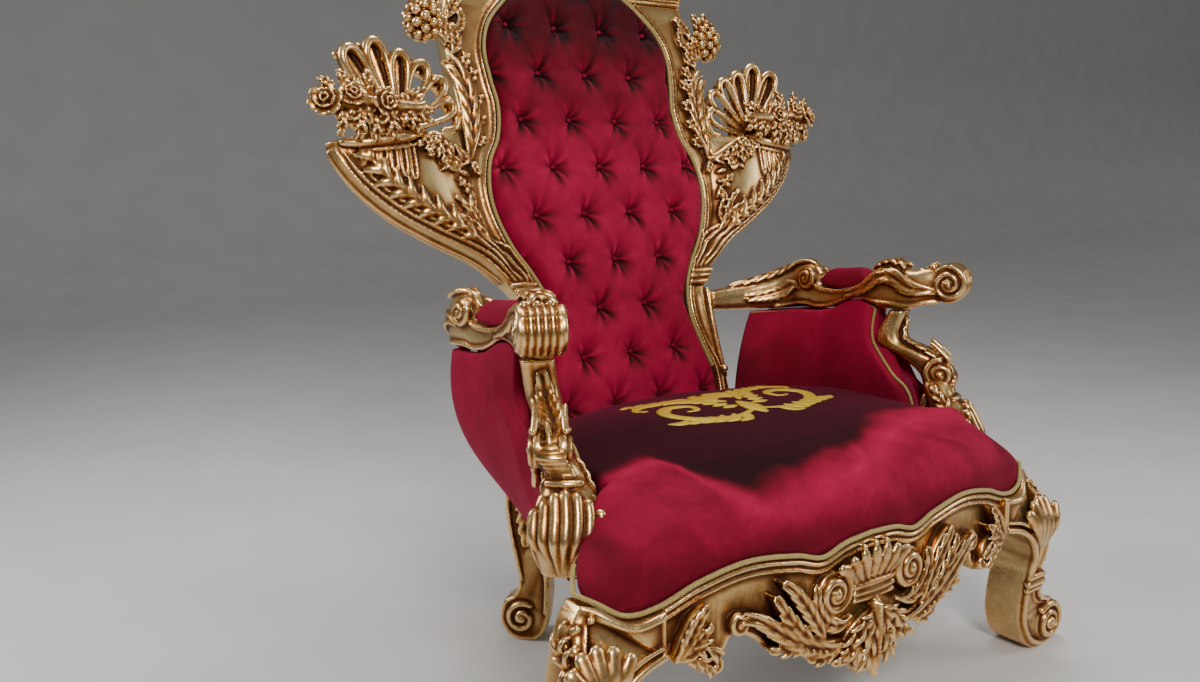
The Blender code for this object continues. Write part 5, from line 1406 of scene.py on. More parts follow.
def build_arms():
    clay = Clay()
    ys = np.linspace(0.214, -0.206, 120)
    x, top, under = arm_line(ys)
    path = np.stack([x, ys, (top + under) / 2], 1)
    slope = unit(np.gradient(path[:, :2], axis=0))
    across = np.stack([-slope[:, 1], slope[:, 0], 0 * ys], 1)
    width = ARM_HALF_WIDTH * (0.80 + 0.20 * np.clip((0.214 - ys) / 0.05, 0, 1))
    tall = (top - under) / 2
    angle = 2 * math.pi * np.arange(44) / 44
    shape = np.sign(np.cos(angle)) * np.abs(np.cos(angle)) ** 0.62
    lift = np.sign(np.sin(angle)) * np.abs(np.sin(angle)) ** 0.75
    rings = (path[:, None] + across[:, None] * (width[:, None] * shape[None])[..., None]
             + UP * (tall[:, None] * lift[None])[..., None])
    clay.loft(shifted(rings))
    arm_roll(clay)
    arm_carving(clay)
    place_pair("arm_rail", carve("arm_rail_right_looks", clay, 42000), GILT)


def arm_roll(clay):
    """The rolled front of the arm: flutes around it and a spiral on each end."""
    flutes = 6
    across = np.linspace(-SCROLL_HALF_WIDTH, SCROLL_HALF_WIDTH, 73)
    share = (across / SCROLL_HALF_WIDTH + 1) / 2
    ridge_wave = np.abs(np.sin(math.pi * flutes * share)) ** 0.7
    radius = ARM_SCROLL_RADIUS * (0.885 + 0.115 * ridge_wave)
    angle = 2 * math.pi * np.arange(48) / 48
    rings = scroll_point(across[:, None], radius[:, None] * np.cos(angle), radius[:, None] * np.sin(angle))
    clay.loft(rings)
    for k in range(flutes):
        middle = SCROLL_HALF_WIDTH * (2 * (k + 0.5) / flutes - 1)
        turn = np.radians(np.linspace(150, 40, 14))
        start = scroll_point(middle, ARM_SCROLL_RADIUS * 0.93 * np.cos(turn),
                             ARM_SCROLL_RADIUS * 0.93 * np.sin(turn))
        back = scroll_point(middle * 0.9, -0.052, 0.0255 + 0.002 * math.cos(k))
        tube(clay, np.concatenate([back[None], start]), (0.0040, 0.0052, 0.0048), up=UP, sides=8)
    for side in (-1, 1):
        def end(ahead, rise, lift=0.0):
            return scroll_point(side * (SCROLL_HALF_WIDTH + lift), ahead, rise)
        volute(clay, (0.001, 0.001), 0.0335, 2.1, 1.5, -1, end, 0.0056, 0.0036, 0.14, 0.22,
               up=side * SCROLL_AXIS)


def arm_carving(clay):
    """Mouldings and leaves on the arm's flanks, the leaf scroll and the flower block."""
    for side in (-1, 1):
        def line(points, lift=0.0, steps=8):
            flat = spline(points, steps)
            return arm_point(flat[:, 0], side, flat[:, 1], lift)
        out = unit(np.array((side * 1.0, side * 0.15, 0.25)))
        front = [(-0.215, -0.55), (-0.180, -0.10), (-0.150, 0.35), (-0.110, 0.45), (-0.070, 0.10),
                 (-0.030, 0.05)]
        leaf(clay, line(front, -0.003), (0.006, 0.014, 0.015, 0.013, 0.009, 0.004), out, 0.007, 7, sink=0.010)
        under = [(-0.205, -0.95), (-0.160, -0.75), (-0.110, -0.70), (-0.070, -0.80)]
        tube(clay, line(under, -0.001), (0.0050, 0.0060, 0.0050, 0.0030), up=out, sides=8)
        rail = [(-0.080, 0.75), (-0.030, 0.70), (0.020, 0.70), (0.050, 0.60)]
        tube(clay, line(rail, 0.000), (0.0035, 0.0048, 0.0048, 0.0035), up=out, sides=8)
        low = [(-0.070, -0.60), (0.000, -0.70), (0.060, -0.75), (0.120, -0.75), (0.160, -0.80)]
        tube(clay, line(low, 0.000), (0.0035, 0.0052, 0.0052, 0.0045), up=out, sides=8)

        def curl(a, b, c=0.0):
            base = arm_point(0.072 + a, side, 0.0, 0.002 + c)
            return np.array((base[0], base[1], ARM_HEIGHT - 0.010 + b))
        volute(clay, (0.0, 0.004), 0.023, 1.6, 2.6, 1, curl, 0.0058, 0.0038, 0.16, 0.26, up=out)
        sweep = [(0.092, -0.10), (0.118, 0.10), (0.145, 0.05), (0.172, -0.05), (0.196, -0.10)]
        leaf(clay, line(sweep, -0.003), (0.012, 0.017, 0.016, 0.012, 0.006), out, 0.007, 6, sink=0.010)
    crest_y = np.array((0.056, 0.072, 0.098, 0.125, 0.150, 0.172, 0.190, 0.204))
    x, top, under = arm_line(crest_y)
    crest = shifted(np.stack([x, crest_y, top - 0.004], -1))
    leaf(clay, spline(crest, 6), (0.012, 0.020, 0.024, 0.022, 0.017, 0.012, 0.006), UP, 0.010, 8, sink=0.010)
    block_y = np.array((-0.088, -0.108, -0.135, -0.158))
    x, top, under = arm_line(block_y)
    crown = shifted(np.stack([x, block_y, top - 0.003], -1))
    leaf(clay, spline(crown, 6), (0.010, 0.018, 0.022, 0.020), UP, 0.008, 4, sink=0.010)
    x, top, under = arm_line(-0.137)
    small_flower(clay, shifted((float(x), -0.137, float(top) + 0.001)), np.array((-0.25, -0.2, 1.0)), 0.019)
    for k in range(3):
        place = scroll_point(0.019 * (k - 1), -0.030, 0.033)
        blob(clay, place, 0.0078)


# Upholstery

def soft_mesh(name, rings, pile_tone_and_light, smooth=0):
    """A closed velvet body through rings, with a tone value on each point: pile variation, and on some pieces
    painted shade and highlights.
    """
    clay = Clay()
    clay.loft(rings)
    mesh = clay.mesh(name)
    body = bmesh.new()
    body.from_mesh(mesh)
    bmesh.ops.recalc_face_normals(body, faces=body.faces)
    body.to_mesh(mesh)
    body.free()
    if smooth:
        mesh = evaluated(mesh, name, [("SMOOTH", {"iterations": smooth, "factor": 0.5})])
    mesh.shade_smooth()
    store = mesh.attributes.new("pile_tone_and_light", "FLOAT", "POINT")
    store.data.foreach_set("value", pile_tone_and_light(mesh_points(mesh)).astype(np.float32))
    return mesh


def waves(points, scale, seed):
    """Smooth made-up variation over space, between about -1 and 1."""
    generator = np.random.default_rng(seed)
    total = np.zeros(len(points))
    for k in range(7):
        way = generator.normal(size=3)
        way = way / np.linalg.norm(way) * scale * (0.6 + 0.35 * k)
        total += np.sin(points @ way + generator.uniform(0, 6.28)) / (1 + 0.35 * k)
    return total / 3.0


def tuft_values(x, height):
    """Where a point lies from its nearest button, and how the tufting folds there."""
    u = x / TUFT_PITCH
    v = (TUFT_TOP_ROW - height) / TUFT_ROW
    a = u + v / 2 + 0.5
    b = u - v / 2 + 0.5
    off_a = (a + 0.5) % 1.0 - 0.5
    off_b = (b + 0.5) % 1.0 - 0.5
    dx = (off_a + off_b) / 2 * TUFT_PITCH
    dh = (off_b - off_a) * TUFT_ROW
    reach = np.hypot(dx, dh)
    turn = np.arctan2(dh, dx)
    own = np.round(a - off_a) * 2.7 + np.round(b - off_b) * 4.1
    near = np.exp(-(reach / 0.030) ** 2)
    star = np.cos(7 * turn + own) + 0.6 * np.cos(4 * turn + 1.7 * own) + 0.4 * np.cos(11 * turn - own)
    wrinkle = star / 2.0 * np.exp(-(reach / 0.030) ** 2) * (1 - np.exp(-(reach / 0.007) ** 2))
    valley = np.minimum(np.abs(off_a), np.abs(off_b))
    fold = np.exp(-(valley / 0.060) ** 1.4) * (0.22 + 0.78 * near)
    return dx, dh, reach, wrinkle, fold


def button_places():
    places = []
    row = 0
    height = TUFT_TOP_ROW
    while height > 0.50:
        shift = 0.5 if row % 2 == 0 else 0.0
        for k in range(-3, 4):
            x = (k + shift) * TUFT_PITCH
            if abs(x) < float(panel_half(height)) - 0.0225:
                places.append((x, height))
        height -= TUFT_ROW
        row += 1
    return places


def build_tufted_back():
    """The diamond-tufted front of the back, with a velvet button in each tuft."""
    heights = np.concatenate([np.arange(PANEL_FOOT, PANEL_TOP - 0.01, 0.0028),
                              np.arange(PANEL_TOP - 0.01, PANEL_TOP - 0.0019, 0.001)])
    half = panel_half(heights) - GAP
    t = np.linspace(-1, 1, 150)
    x = half[:, None] * t[None]
    h = np.broadcast_to(heights[:, None], x.shape)
    reach, wrinkle, fold = tuft_values(x, h)[2:]
    rim = np.clip((half[:, None] - np.abs(x)) / 0.026, 0, 1)
    rim = np.minimum(rim, np.clip((PANEL_TOP - h) / 0.030, 0, 1))
    rim = np.sqrt(np.clip(1 - (1 - rim) ** 2, 0, 1))
    depth = 0.028 - 0.018 * np.exp(-(reach / 0.0120) ** 1.3) - 0.0085 * np.exp(-(reach / 0.030) ** 2)
    depth = depth - 0.0050 * fold + 0.0052 * wrinkle
    points = on_back(x, h, 0)
    depth = depth + 0.0010 * waves(points.reshape(-1, 3), 55, 17).reshape(x.shape)
    front = on_back(x, h, rim * depth - 0.008)
    back = np.stack([on_back(half, heights, PANEL_PAD_BACK), on_back(-half, heights, PANEL_PAD_BACK)], 1)

    def pile_tone_and_light(points):
        height = points[:, 2]
        away_x, away_h, _, painted_wrinkle_light, painted_fold_shade = tuft_values(points[:, 0], height)
        level = 0.70 + 0.07 * waves(points, 12, 3) + 0.035 * waves(points, 48, 8)
        # Painted shade: the upper part of the back is darkened towards maroon.
        level = level - 0.20 * np.clip((height - 0.95) / 0.15, 0, 1) - 0.26 * np.clip((height - 1.13) / 0.09,
                                                                                      0, 1)
        # Painted shadow below and to the right of each button, painted highlight above and to the left of it.
        shade = np.exp(-(((away_x - 0.006) / 0.017) ** 2 + ((away_h + 0.013) / 0.018) ** 2))
        glow = np.exp(-(((away_x + 0.006) / 0.016) ** 2 + ((away_h - 0.019) / 0.012) ** 2))
        level = level - 0.40 * shade * np.clip(1 - 1.3 * painted_wrinkle_light, 0.2, 1.8) + 0.12 * glow
        # Painted shade along the tufting folds, and painted light and shade along the star wrinkles.
        level = level - 0.12 * painted_fold_shade + 0.34 * painted_wrinkle_light
        return level

    mesh = soft_mesh("back_panel_front_looks", np.concatenate([front, back], 1), pile_tone_and_light)
    piece = place_piece("back_panel_front_looks", mesh, "back_panel_front", VELVET)
    clay = Clay()
    for bx, bh in button_places():
        axes = np.stack([np.array((1.0, 0, 0)), BACK_UP * 0.8, BACK_NORMAL * 0.55])
        blob(clay, on_back(bx, bh, 0.0000), 0.0058, axes, 14, 8)
    body = clay.mesh("back_buttons_looks")
    body.shade_smooth()
    store = body.attributes.new("pile_tone_and_light", "FLOAT", "POINT")
    store.data.foreach_set("value", np.full(len(body.vertices), 0.60, np.float32))
    place_piece("back_buttons_looks", body, "back_panel_front", VELVET)


def build_rear_panel():
    """The plain velvet outside of the back."""
    heights = np.concatenate([[0.3991], np.arange(0.41, 1.32, 0.010), [1.32]])
    half = panel_half(np.maximum(heights, PANEL_FOOT)) - GAP
    inner = PANEL_PAD_BACK - GAP
    outer = inner - 0.018
    t = np.linspace(-1, 1, 41)
    x = half[:, None] * t[None]
    h = np.broadcast_to(heights[:, None], x.shape)
    edge = np.clip((1 - np.abs(t)) / 0.08, 0, 1)[None]
    points = on_back(x, h, outer + 0.010 - (0.010 + 0.006 * (1 - t[None] ** 2)) * np.sqrt(edge))
    foot = np.clip((0.66 - heights) / (0.66 - RAIL_TOP), 0, 1)[:, None] ** 1.5
    points[..., 1] += (0.287 + SHIFT_Y - points[..., 1]) * foot
    front = np.stack([on_back(half, heights, inner), on_back(-half, heights, inner)], 1)

    def pile_tone_and_light(p):
        return 0.50 + 0.14 * waves(p, 9, 21) + 0.08 * waves(p, 40, 22)

    mesh = soft_mesh("back_panel_rear_looks", np.concatenate([points, front], 1), pile_tone_and_light)
    piece = place_piece("back_panel_rear_looks", mesh, "back_panel_rear", VELVET)


SEAT_NECK = -0.285
SEAT_BACK = 0.112
FRONT_RISE = ((0.000, 0.000), (0.015, 0.017), (0.050, 0.037), (0.110, 0.057), (0.276, 0.084), (0.634, 0.106),
              (1.000, 0.119))
FRONT_HALF = ((0.000, 0.503), (0.160, 0.505), (0.700, 0.475), (1.000, 0.420))
FRONT_EDGE = ((0.000, 0.000), (0.160, 0.001), (0.700, 0.030), (1.000, 0.106))
REAR_CENTRE = ((SEAT_NECK, 0.503), (-0.200, 0.512), (-0.050, 0.520), (SEAT_BACK, 0.500))
REAR_EDGE = ((SEAT_NECK, 0.490), (-0.264, 0.488), (-0.191, 0.490), (-0.050, 0.496), (SEAT_BACK, 0.486))
REAR_HALF = ((SEAT_NECK, 0.420), (-0.255, 0.384), (-0.100, 0.374), (0.060, 0.318), (SEAT_BACK, 0.198))
# Where the painted shade on the seat top begins, as x and depth.
SEAT_SHADE_LINE = ((-0.420, -0.215), (-0.387, -0.229), (-0.278, -0.215), (-0.254, -0.315), (-0.182, -0.370),
            (-0.061, -0.361), (0.059, -0.337), (0.209, -0.276), (0.380, -0.253))


def seat_place(share, u):
    """The seat's front part: share runs from the cord back to the arm posts, u from side to side."""
    x = curve(FRONT_HALF, share) * u
    corner = np.clip(np.abs(x) / SEAT_HALF_WIDTH - 0.93, 0, None) / 0.07
    line = seat_front(x) - SHIFT_Y + 0.002 + 0.012 * corner
    y = line + (SEAT_NECK - line) * share
    base = 0.384 + (cord_line(x) - 0.384) * (1 - share) ** 2
    edge = curve(FRONT_EDGE, share)
    rise = (curve(FRONT_RISE, share) - edge) * (1 - np.abs(u) ** 6) ** 0.6
    return x, y, base + edge + rise


def seat_top(x, y):
    """Height of the seat at a measured place behind its front part."""
    u = np.clip(np.abs(x) / curve(REAR_HALF, y), 0, 1)
    edge = curve(REAR_EDGE, y)
    blend = np.clip((y - SEAT_NECK) / 0.16, 0, 1)
    full = (1 - u ** 6) ** 0.6 * (1 - blend) + (1 - u ** 3) * blend
    return edge + (curve(REAR_CENTRE, y) - edge) * full


def build_seat():
    u = np.sin(np.linspace(-1, 1, 130) * math.pi / 2) * 0.35 + np.linspace(-1, 1, 130) * 0.65
    rings = []
    for share in np.concatenate([[0, 0.006, 0.015, 0.030], np.linspace(0.05, 0.98, 56)]):
        x, y, z = seat_place(share, u)
        floor = cord_line(x) * (1 - share) + 0.381 * share
        top = np.stack([x, y, np.maximum(z, floor + 0.001)], -1)
        under = np.stack([x, y, floor - 0.001], -1)[::-12]
        rings.append(shifted(np.concatenate([top, under])))
    for y in np.linspace(SEAT_NECK, SEAT_BACK, 100):
        x = float(curve(REAR_HALF, y)) * u
        edge_round = 0.010 * np.clip(1 - (1 - np.abs(u)) / 0.03, 0, 1) ** 2
        top = np.stack([x, np.full_like(x, y), seat_top(x, y) - edge_round], -1)
        under = np.stack([x, np.full_like(x, y), np.full_like(x, 0.380)], -1)[::-12]
        rings.append(shifted(np.concatenate([top, under])))

    def pile_tone_and_light(points):
        x, y, z = points[:, 0], points[:, 1] - SHIFT_Y, points[:, 2]
        streaks = waves(points * np.array((1.0, 0.35, 0.6)), 60, 5)
        # Painted shade: behind this streaky line the seat top is darkened almost to black-maroon.
        lap = 0.018 * streaks + 0.016 * waves(points, 18, 31)
        flat = np.clip((y - curve(SEAT_SHADE_LINE, x) + lap) / 0.045 + 0.3, 0, 1)
        flat = flat * flat * (3 - 2 * flat)
        level = 0.62 + 0.05 * waves(points, 9, 6) + 0.03 * waves(points, 50, 7)
        # Painted highlight in a band along the crown of the front roll, just in front of the shaded top.
        before = np.clip(1 - np.abs(y - curve(SEAT_SHADE_LINE, x) + 0.040) / 0.045, 0, 1)
        level = level + 0.20 * before * np.clip((z - 0.42) / 0.03, 0, 1)
        # Painted shade on the dark top and on the lower front face under the roll.
        level = level - 0.58 * flat - 0.16 * np.clip((0.425 - z) / 0.03, 0, 1)
        # Painted shade in patches at the front corners, beside the arm posts.
        level = level - 0.22 * np.exp(-(((np.abs(x) - 0.45) / 0.022) ** 2 + ((z - 0.435) / 0.02) ** 2))
        return level

    mesh = soft_mesh("seat_cushion_looks", rings, pile_tone_and_light, smooth=3)
    piece = place_piece("seat_cushion_looks", mesh, "seat_cushion", VELVET)


# Front edge of the arm's upholstery: height, depth
PAD_FRONT = ((0.440, -0.208), (0.480, -0.204), (0.515, -0.188), (0.545, -0.154), (0.579, -0.120),
             (0.605, -0.101), (0.665, -0.097))
COVER_FRONT = ((0.345, -0.234), (0.372, -0.230), (0.378, -0.220), (0.430, -0.214), (0.480, -0.200),
               (0.515, -0.178), (0.545, -0.150), (0.579, -0.096), (0.605, -0.090), (0.665, -0.098))
PAD_INSIDE = ((-0.205, 0.068), (-0.140, 0.031), (-0.100, 0.025), (0.000, 0.050), (0.060, 0.082),
              (0.140, 0.098), (0.180, 0.080))
ARM_CLOTH_BACK = 0.172
PAD_FOOT = 0.440
PAD_THICKNESS = 0.026
COVER_THICKNESS = 0.016
CLOTH_CLEARANCE = 0.003
SIDE_LINE = ((-0.365, 0.500), (-0.150, 0.440), (0.080, 0.350), (0.280, 0.220))


def arm_cloth_point(share, t, foot, front):
    """Depth, arm line and height of points on the arm's upholstery, t of the way up from its foot."""
    guess = foot + (ARM_HEIGHT - 0.055 - foot) * t
    y = curve(front, guess) * (1 - share) + ARM_CLOTH_BACK * share
    x, _, under = arm_line(y)
    return x, y, foot + (under - CLOTH_CLEARANCE - foot) * t


def pad_inside(share, t):
    """The padded inside's face and its back, as x, with depth and height."""
    x, y, z = arm_cloth_point(share, t, PAD_FOOT, PAD_FRONT)
    offset = curve(PAD_INSIDE, y)
    base = x - offset + 0.6 * (offset - 0.012) * t
    puff = 0.014 * np.sin(math.pi * np.clip(t, 0, 1)) ** 0.6
    front_round = np.clip(1 - share / 0.05, 0, 1) ** 2 * 0.010
    return base - puff + front_round, base + PAD_THICKNESS, y, z


def build_arm_upholstery():
    """Padded insides, velvet outsides and the small pads on top of the arms."""
    t = np.linspace(0, 1, 56)
    pad_rings = []
    cover_rings = []
    for share in np.linspace(0, 1, 84):
        face, rear, y, z = pad_inside(share, t)
        inner = np.stack([face, y, z], -1)
        outer = np.stack([rear, y, z], -1)[::-5]
        pad_rings.append(shifted(np.concatenate([inner, outer])))
        x, y, z = arm_cloth_point(share, t, RAIL_BOTTOM, COVER_FRONT)
        foot_x = curve(SIDE_LINE, y) - 0.030
        bulge = 0.018 * np.sin(math.pi * t) * min(1.0, 5 * share)
        side_x = foot_x + (x + 0.026 - foot_x) * np.sin(0.5 * math.pi * t) ** 0.8 + bulge
        outer = np.stack([side_x, y, z], -1)
        inner = np.stack([side_x - COVER_THICKNESS, y, z], -1)[::-5]
        cover_rings.append(shifted(np.concatenate([outer, inner])))

    def pad_tone_and_top_light(p):
        high = np.clip((p[:, 2] - 0.58) / 0.08, -1, 1)
        # Painted light: the upper part of the pad lighter, the lower part darker.
        return 0.60 + 0.07 * waves(p, 9, 41) + 0.03 * waves(p, 50, 42) + 0.10 * high

    def cover_nap(p):
        return 0.66 + 0.06 * waves(p, 8, 43) + 0.03 * waves(p, 50, 44)

    pad = soft_mesh("arm_pad_inner_right_looks", pad_rings, pad_tone_and_top_light)
    for piece in place_pair("arm_pad_inner", pad, VELVET):
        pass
    cover = soft_mesh("arm_cover_outer_right_looks", cover_rings, cover_nap)
    for piece in place_pair("arm_cover_outer", cover, VELVET):
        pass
    top_rings = []
    angle = np.linspace(0, math.pi, 25)
    for s in np.linspace(0, 1, 45):
        y = -0.078 + 0.118 * s
        x, top, _ = arm_line(y)
        puff = math.sqrt(max(0.10, 1 - abs(2 * s - 1) ** 3))
        across = np.sign(np.cos(angle)) * np.abs(np.cos(angle)) ** 0.8
        top_rings.append(shifted(np.stack([float(x) + 0.020 * across, np.full(25, y),
                                           float(top) + CLOTH_CLEARANCE - 0.001
                                           + 0.040 * puff * np.sin(angle) ** 0.8], -1)))
    small = soft_mesh("arm_top_pad_right_looks", top_rings, lambda p: 0.56 + 0.12 * waves(p, 30, 45))
    for piece in place_pair("arm_top_pad", small, VELVET):
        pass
    build_arm_gimp()


def build_arm_gimp():
    """A cord along the front edge and the top of each padded inside."""
    edge_t = np.linspace(0.12, 0.985, 40)
    face, _, y, z = pad_inside(0.0, edge_t)
    front = np.stack([face - 0.002, y - 0.002, z], -1)
    top_share = np.linspace(0.02, 1.0, 60)
    points = [pad_inside(s, 0.985) for s in top_share]
    top = np.array([(float(f) + 0.004, float(b), float(c)) for f, _, b, c in points])
    path = shifted(np.concatenate([front, top]))
    for side, word in ((1, "right"), (-1, "left")):
        mesh = rope_mesh("arm_gimp_" + word + "_looks", path * np.array((side, 1, 1)), radius=0.0030)
        piece = bpy.data.objects.new("arm_gimp_" + word + "_looks", mesh)
        bpy.context.scene.collection.objects.link(piece)
        mesh.materials.append(CORD)
        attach(piece, "root")


# Cords

def rope_mesh(name, path, strands=3, radius=CORD_RADIUS, pitch=0.011):
    """Twisted strands along a path."""
    length = float(np.sum(np.linalg.norm(np.diff(path, axis=0), axis=1)))
    count = int(length / pitch * 7)
    path = even(path, count)
    ahead = unit(np.gradient(path, axis=0))
    side = unit(np.cross(ahead, UP + np.array((0.02, 0.31, 0.0))))
    lift = np.cross(side, ahead)
    clay = Clay()
    run = np.linspace(0, length, count)
    for k in range(strands):
        angle = 2 * math.pi * (run / pitch + k / strands)
        centre = path + 0.5 * radius * (np.cos(angle)[:, None] * side + np.sin(angle)[:, None] * lift)
        tube(clay, centre, (0.52 * radius, 0.52 * radius), up=lift, sides=5)
    mesh = clay.mesh(name)
    mesh.shade_smooth()
    return mesh


def rope(name, path, node):
    return place_piece(name, rope_mesh(name, path), node, CORD)


def build_cords():
    """The cords along the seat's front and sides and around the tufted back."""
    x = np.linspace(-SEAT_HALF_WIDTH, SEAT_HALF_WIDTH, 260)
    corner = np.clip(np.abs(x) / SEAT_HALF_WIDTH - 0.93, 0, None) / 0.07
    front = np.stack([x, seat_front(x) - 0.003 + 0.012 * corner, cord_line(x)], -1)
    share = np.linspace(0.04, 0.66, 24)
    edge_x, edge_y, edge_z = seat_place(share, 1.0)
    right = shifted(np.stack([edge_x + 0.002, edge_y - 0.003, edge_z + 0.001], -1))
    left = right[::-1] * np.array((-1, 1, 1))
    rope("seat_cord_looks", np.concatenate([left, front[4:-4], right]), "seat_cord")
    offset = CORD_RADIUS + CORD_GAP
    heights = np.arange(0.53, WING_TOP, 0.004)
    side = np.stack([panel_half(heights) + offset, heights], 1)
    arch_x = np.linspace(0.125, 0.0, 20)
    arch = np.stack([arch_x, panel_arch(arch_x) + offset], 1)
    flat = np.concatenate([side, arch])
    right = on_back(flat[:, 0], flat[:, 1], 0.002)
    left = right[::-1][1:] * np.array((-1, 1, 1))
    rope("back_cord_looks", np.concatenate([right, left]), "back_cord")


def build_hidden_rails():
    """Plain wood on the three rails under the seat, which show as they are."""
    for name in ("side_rail_left", "side_rail_right", "back_rail"):
        node = NODES[name]
        node.data.materials.clear()
        node.data.materials.append(WOOD)


# Embroidery on the seat: scrolls and leaves of its own design

def stitched(clay, points, width, height=0.0016):
    width = width * 2.0
    flat = spline(points, 8)
    flat = even(flat, max(8, int(len(flat) * 0.8)))
    z = seat_top(flat[:, 0], flat[:, 1])
    path = np.stack([flat[:, 0], flat[:, 1] + SHIFT_Y, z + 0.0004], -1)
    tube(clay, path, (0.35 * width, width, width, 0.35 * width), up=UP, sides=8, flat=height / width)


def build_embroidery():
    clay = Clay()
    cx, cy = EMBLEM_CENTRE
    for side in (-1, 1):
        def at(a, b):
            return (cx + side * EMBLEM_WIDE * a, cy + EMBLEM_DEEP * b)
        stitched(clay, [at(0.004, -0.040), at(0.040, -0.052), at(0.080, -0.038), at(0.096, -0.008),
                        at(0.078, 0.014),
                        at(0.056, 0.006), at(0.058, -0.012), at(0.070, -0.012)], 0.0065)
        stitched(clay, [at(0.020, -0.024), at(0.030, 0.010), at(0.054, 0.038), at(0.088, 0.044),
                        at(0.108, 0.030),
                        at(0.100, 0.020)], 0.0060)
        for k in range(6):
            a = 0.022 + 0.014 * k
            stitched(clay, [at(a, -0.046 + 0.002 * k), at(a + 0.010, -0.062 + 0.004 * k),
                            at(a + 0.022, -0.066 + 0.006 * k)], 0.0055)
        for k in range(5):
            a = 0.036 + 0.015 * k
            stitched(clay, [at(a, 0.026 + 0.004 * k), at(a - 0.002, 0.042 + 0.004 * k),
                            at(a + 0.008, 0.054 + 0.002 * k)], 0.0055)
        stitched(clay, [at(0.010, 0.000), at(0.022, 0.022), at(0.018, 0.046), at(0.006, 0.058)], 0.0065)
        for k in range(4):
            stitched(clay, [at(0.012 + 0.004 * k, 0.012 * k - 0.020),
                            at(0.030 + 0.004 * k, 0.012 * k - 0.022)], 0.005)
    for k in range(7):
        angle = math.radians(30 + 20 * k)
        stitched(clay, [(cx + 0.020 * math.cos(angle), cy + 0.016 + 0.020 * math.sin(angle)),
                        (cx + 0.066 * math.cos(angle), cy + 0.022 + 0.062 * math.sin(angle))], 0.0080)
    stitched(clay, [(cx, cy - 0.088), (cx, cy - 0.016)], 0.010)
    mesh = clay.mesh("seat_embroidery_looks")
    mesh.shade_smooth()
    piece = bpy.data.objects.new("seat_embroidery_looks", mesh)
    bpy.context.scene.collection.objects.link(piece)
    mesh.materials.append(THREAD)
    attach(piece, "root")


EMBLEM_CENTRE = (0.045, -0.065)
EMBLEM_WIDE = 1.75
EMBLEM_DEEP = 1.65


# Stage

def build_stage():
    made, tree, shader = new_material("floor_looks")
    place = object_place(tree)
    grain = noise(tree, 3, 4, 0.5, 0.0, place)
    colour = ramp(tree, grain, ((0.3, (0.66, 0.65, 0.63)), (0.7, (0.71, 0.70, 0.68))))
    tree.links.new(colour, shader.inputs["Base Color"])
    shader.inputs["Roughness"].default_value = 0.55
    mesh = bpy.data.meshes.new("floor")
    rings = []
    for y, z in ((-12.0, 0.0), (6.0, 0.0), (7.6, 0.30), (8.6, 1.20), (9.0, 2.6), (9.0, 12.0)):
        rings.append([(-22.0, y, z), (22.0, y, z)])
    points = [p for ring in rings for p in ring]
    faces = [(2 * i, 2 * i + 1, 2 * i + 3, 2 * i + 2) for i in range(len(rings) - 1)]
    mesh.from_pydata(points, [], faces)
    mesh.materials.append(made)
    mesh.shade_smooth()
    floor = bpy.data.objects.new("floor", mesh)
    bpy.context.scene.collection.objects.link(floor)


def area_light(name, place, target, size, power, colour=(1, 1, 1)):
    data = bpy.data.lights.new(name, "AREA")
    data.shape = "RECTANGLE"
    data.size, data.size_y = size
    data.energy = power
    data.color = colour
    light = bpy.data.objects.new(name, data)
    light.location = place
    direction = np.asarray(target, float) - np.asarray(place, float)
    pitch = math.atan2(math.hypot(direction[0], direction[1]), -direction[2])
    light.rotation_euler = (pitch, 0, math.atan2(direction[1], direction[0]) - math.pi / 2)
    bpy.context.scene.collection.objects.link(light)


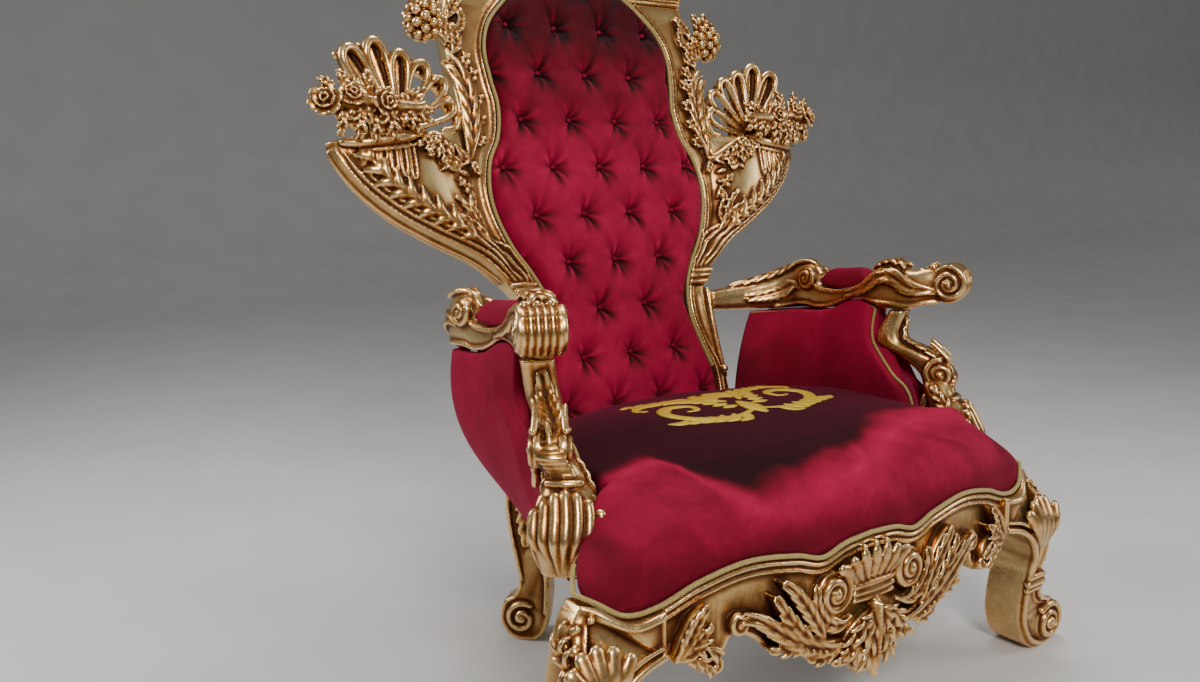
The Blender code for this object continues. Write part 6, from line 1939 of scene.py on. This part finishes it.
def build_lights():
    """Four soft lights and a pale studio world."""
    area_light("key", (-1.3, -2.7, 2.4), (0, 0, 0.7), (0.9, 0.9), 84, (1.0, 0.97, 0.93))
    area_light("fill", (2.4, -1.7, 1.5), (0, 0, 0.6), (1.0, 1.4), 24, (0.97, 0.98, 1.0))
    area_light("top", (0.3, 0.2, 3.0), (0, 0, 0.5), (1.2, 0.9), 34)
    area_light("rim", (-2.3, 1.4, 2.0), (0, 0.1, 0.9), (0.6, 1.4), 46)
    world = bpy.data.worlds.new("studio")
    world.use_nodes = True
    tree = world.node_tree
    back = tree.nodes["Background"]
    back.inputs["Strength"].default_value = 0.30
    place = add_node(tree, "ShaderNodeTexCoord").outputs["Generated"]
    split = add_node(tree, "ShaderNodeSeparateXYZ")
    tree.links.new(place, split.inputs["Vector"])
    colour = ramp(tree, map_range(tree, split.outputs["Z"], -1, 1, 0, 1),
                  ((0.0, (0.10, 0.10, 0.10)), (0.48, (0.22, 0.22, 0.23)), (0.62, (0.55, 0.55, 0.56)),
                   (1.0, (0.95, 0.95, 0.95))))
    tree.links.new(colour, back.inputs["Color"])
    bpy.context.scene.world = world


SENSOR_WIDTH = 36.0
PHOTO_WIDTH = 1200           # pixels
FOCAL_LENGTH = 996.8         # in pixels of the photograph
CAMERA_PLACE = (-1.196, -1.402 + SHIFT_Y, 0.936)
CAMERA_PITCH = 9.46          # degrees down
CAMERA_YAW = 35.18           # degrees to the right of the throne's axis
CAMERA_ROLL = -0.013


def build_camera():
    """The camera at the photograph's viewing angle."""
    data = bpy.data.cameras.new("camera")
    data.sensor_width = SENSOR_WIDTH
    data.lens = SENSOR_WIDTH * FOCAL_LENGTH / PHOTO_WIDTH
    camera = bpy.data.objects.new("camera", data)
    camera.location = CAMERA_PLACE
    aim = Euler((math.radians(90 - CAMERA_PITCH), 0, math.radians(-CAMERA_YAW))).to_matrix()
    camera.rotation_euler = (aim @ Matrix.Rotation(CAMERA_ROLL, 3, "Z")).to_euler()
    bpy.context.scene.collection.objects.link(camera)
    bpy.context.scene.camera = camera


build_camera()
build_stage()
build_lights()
build_wings()
build_fans()
build_flowers()
build_grapes()
build_crest()
build_apron()
build_front_legs()
build_back_legs()
build_posts()
build_arms()
build_tufted_back()
build_rear_panel()
build_seat()
build_arm_upholstery()
build_cords()
build_hidden_rails()
build_embroidery()
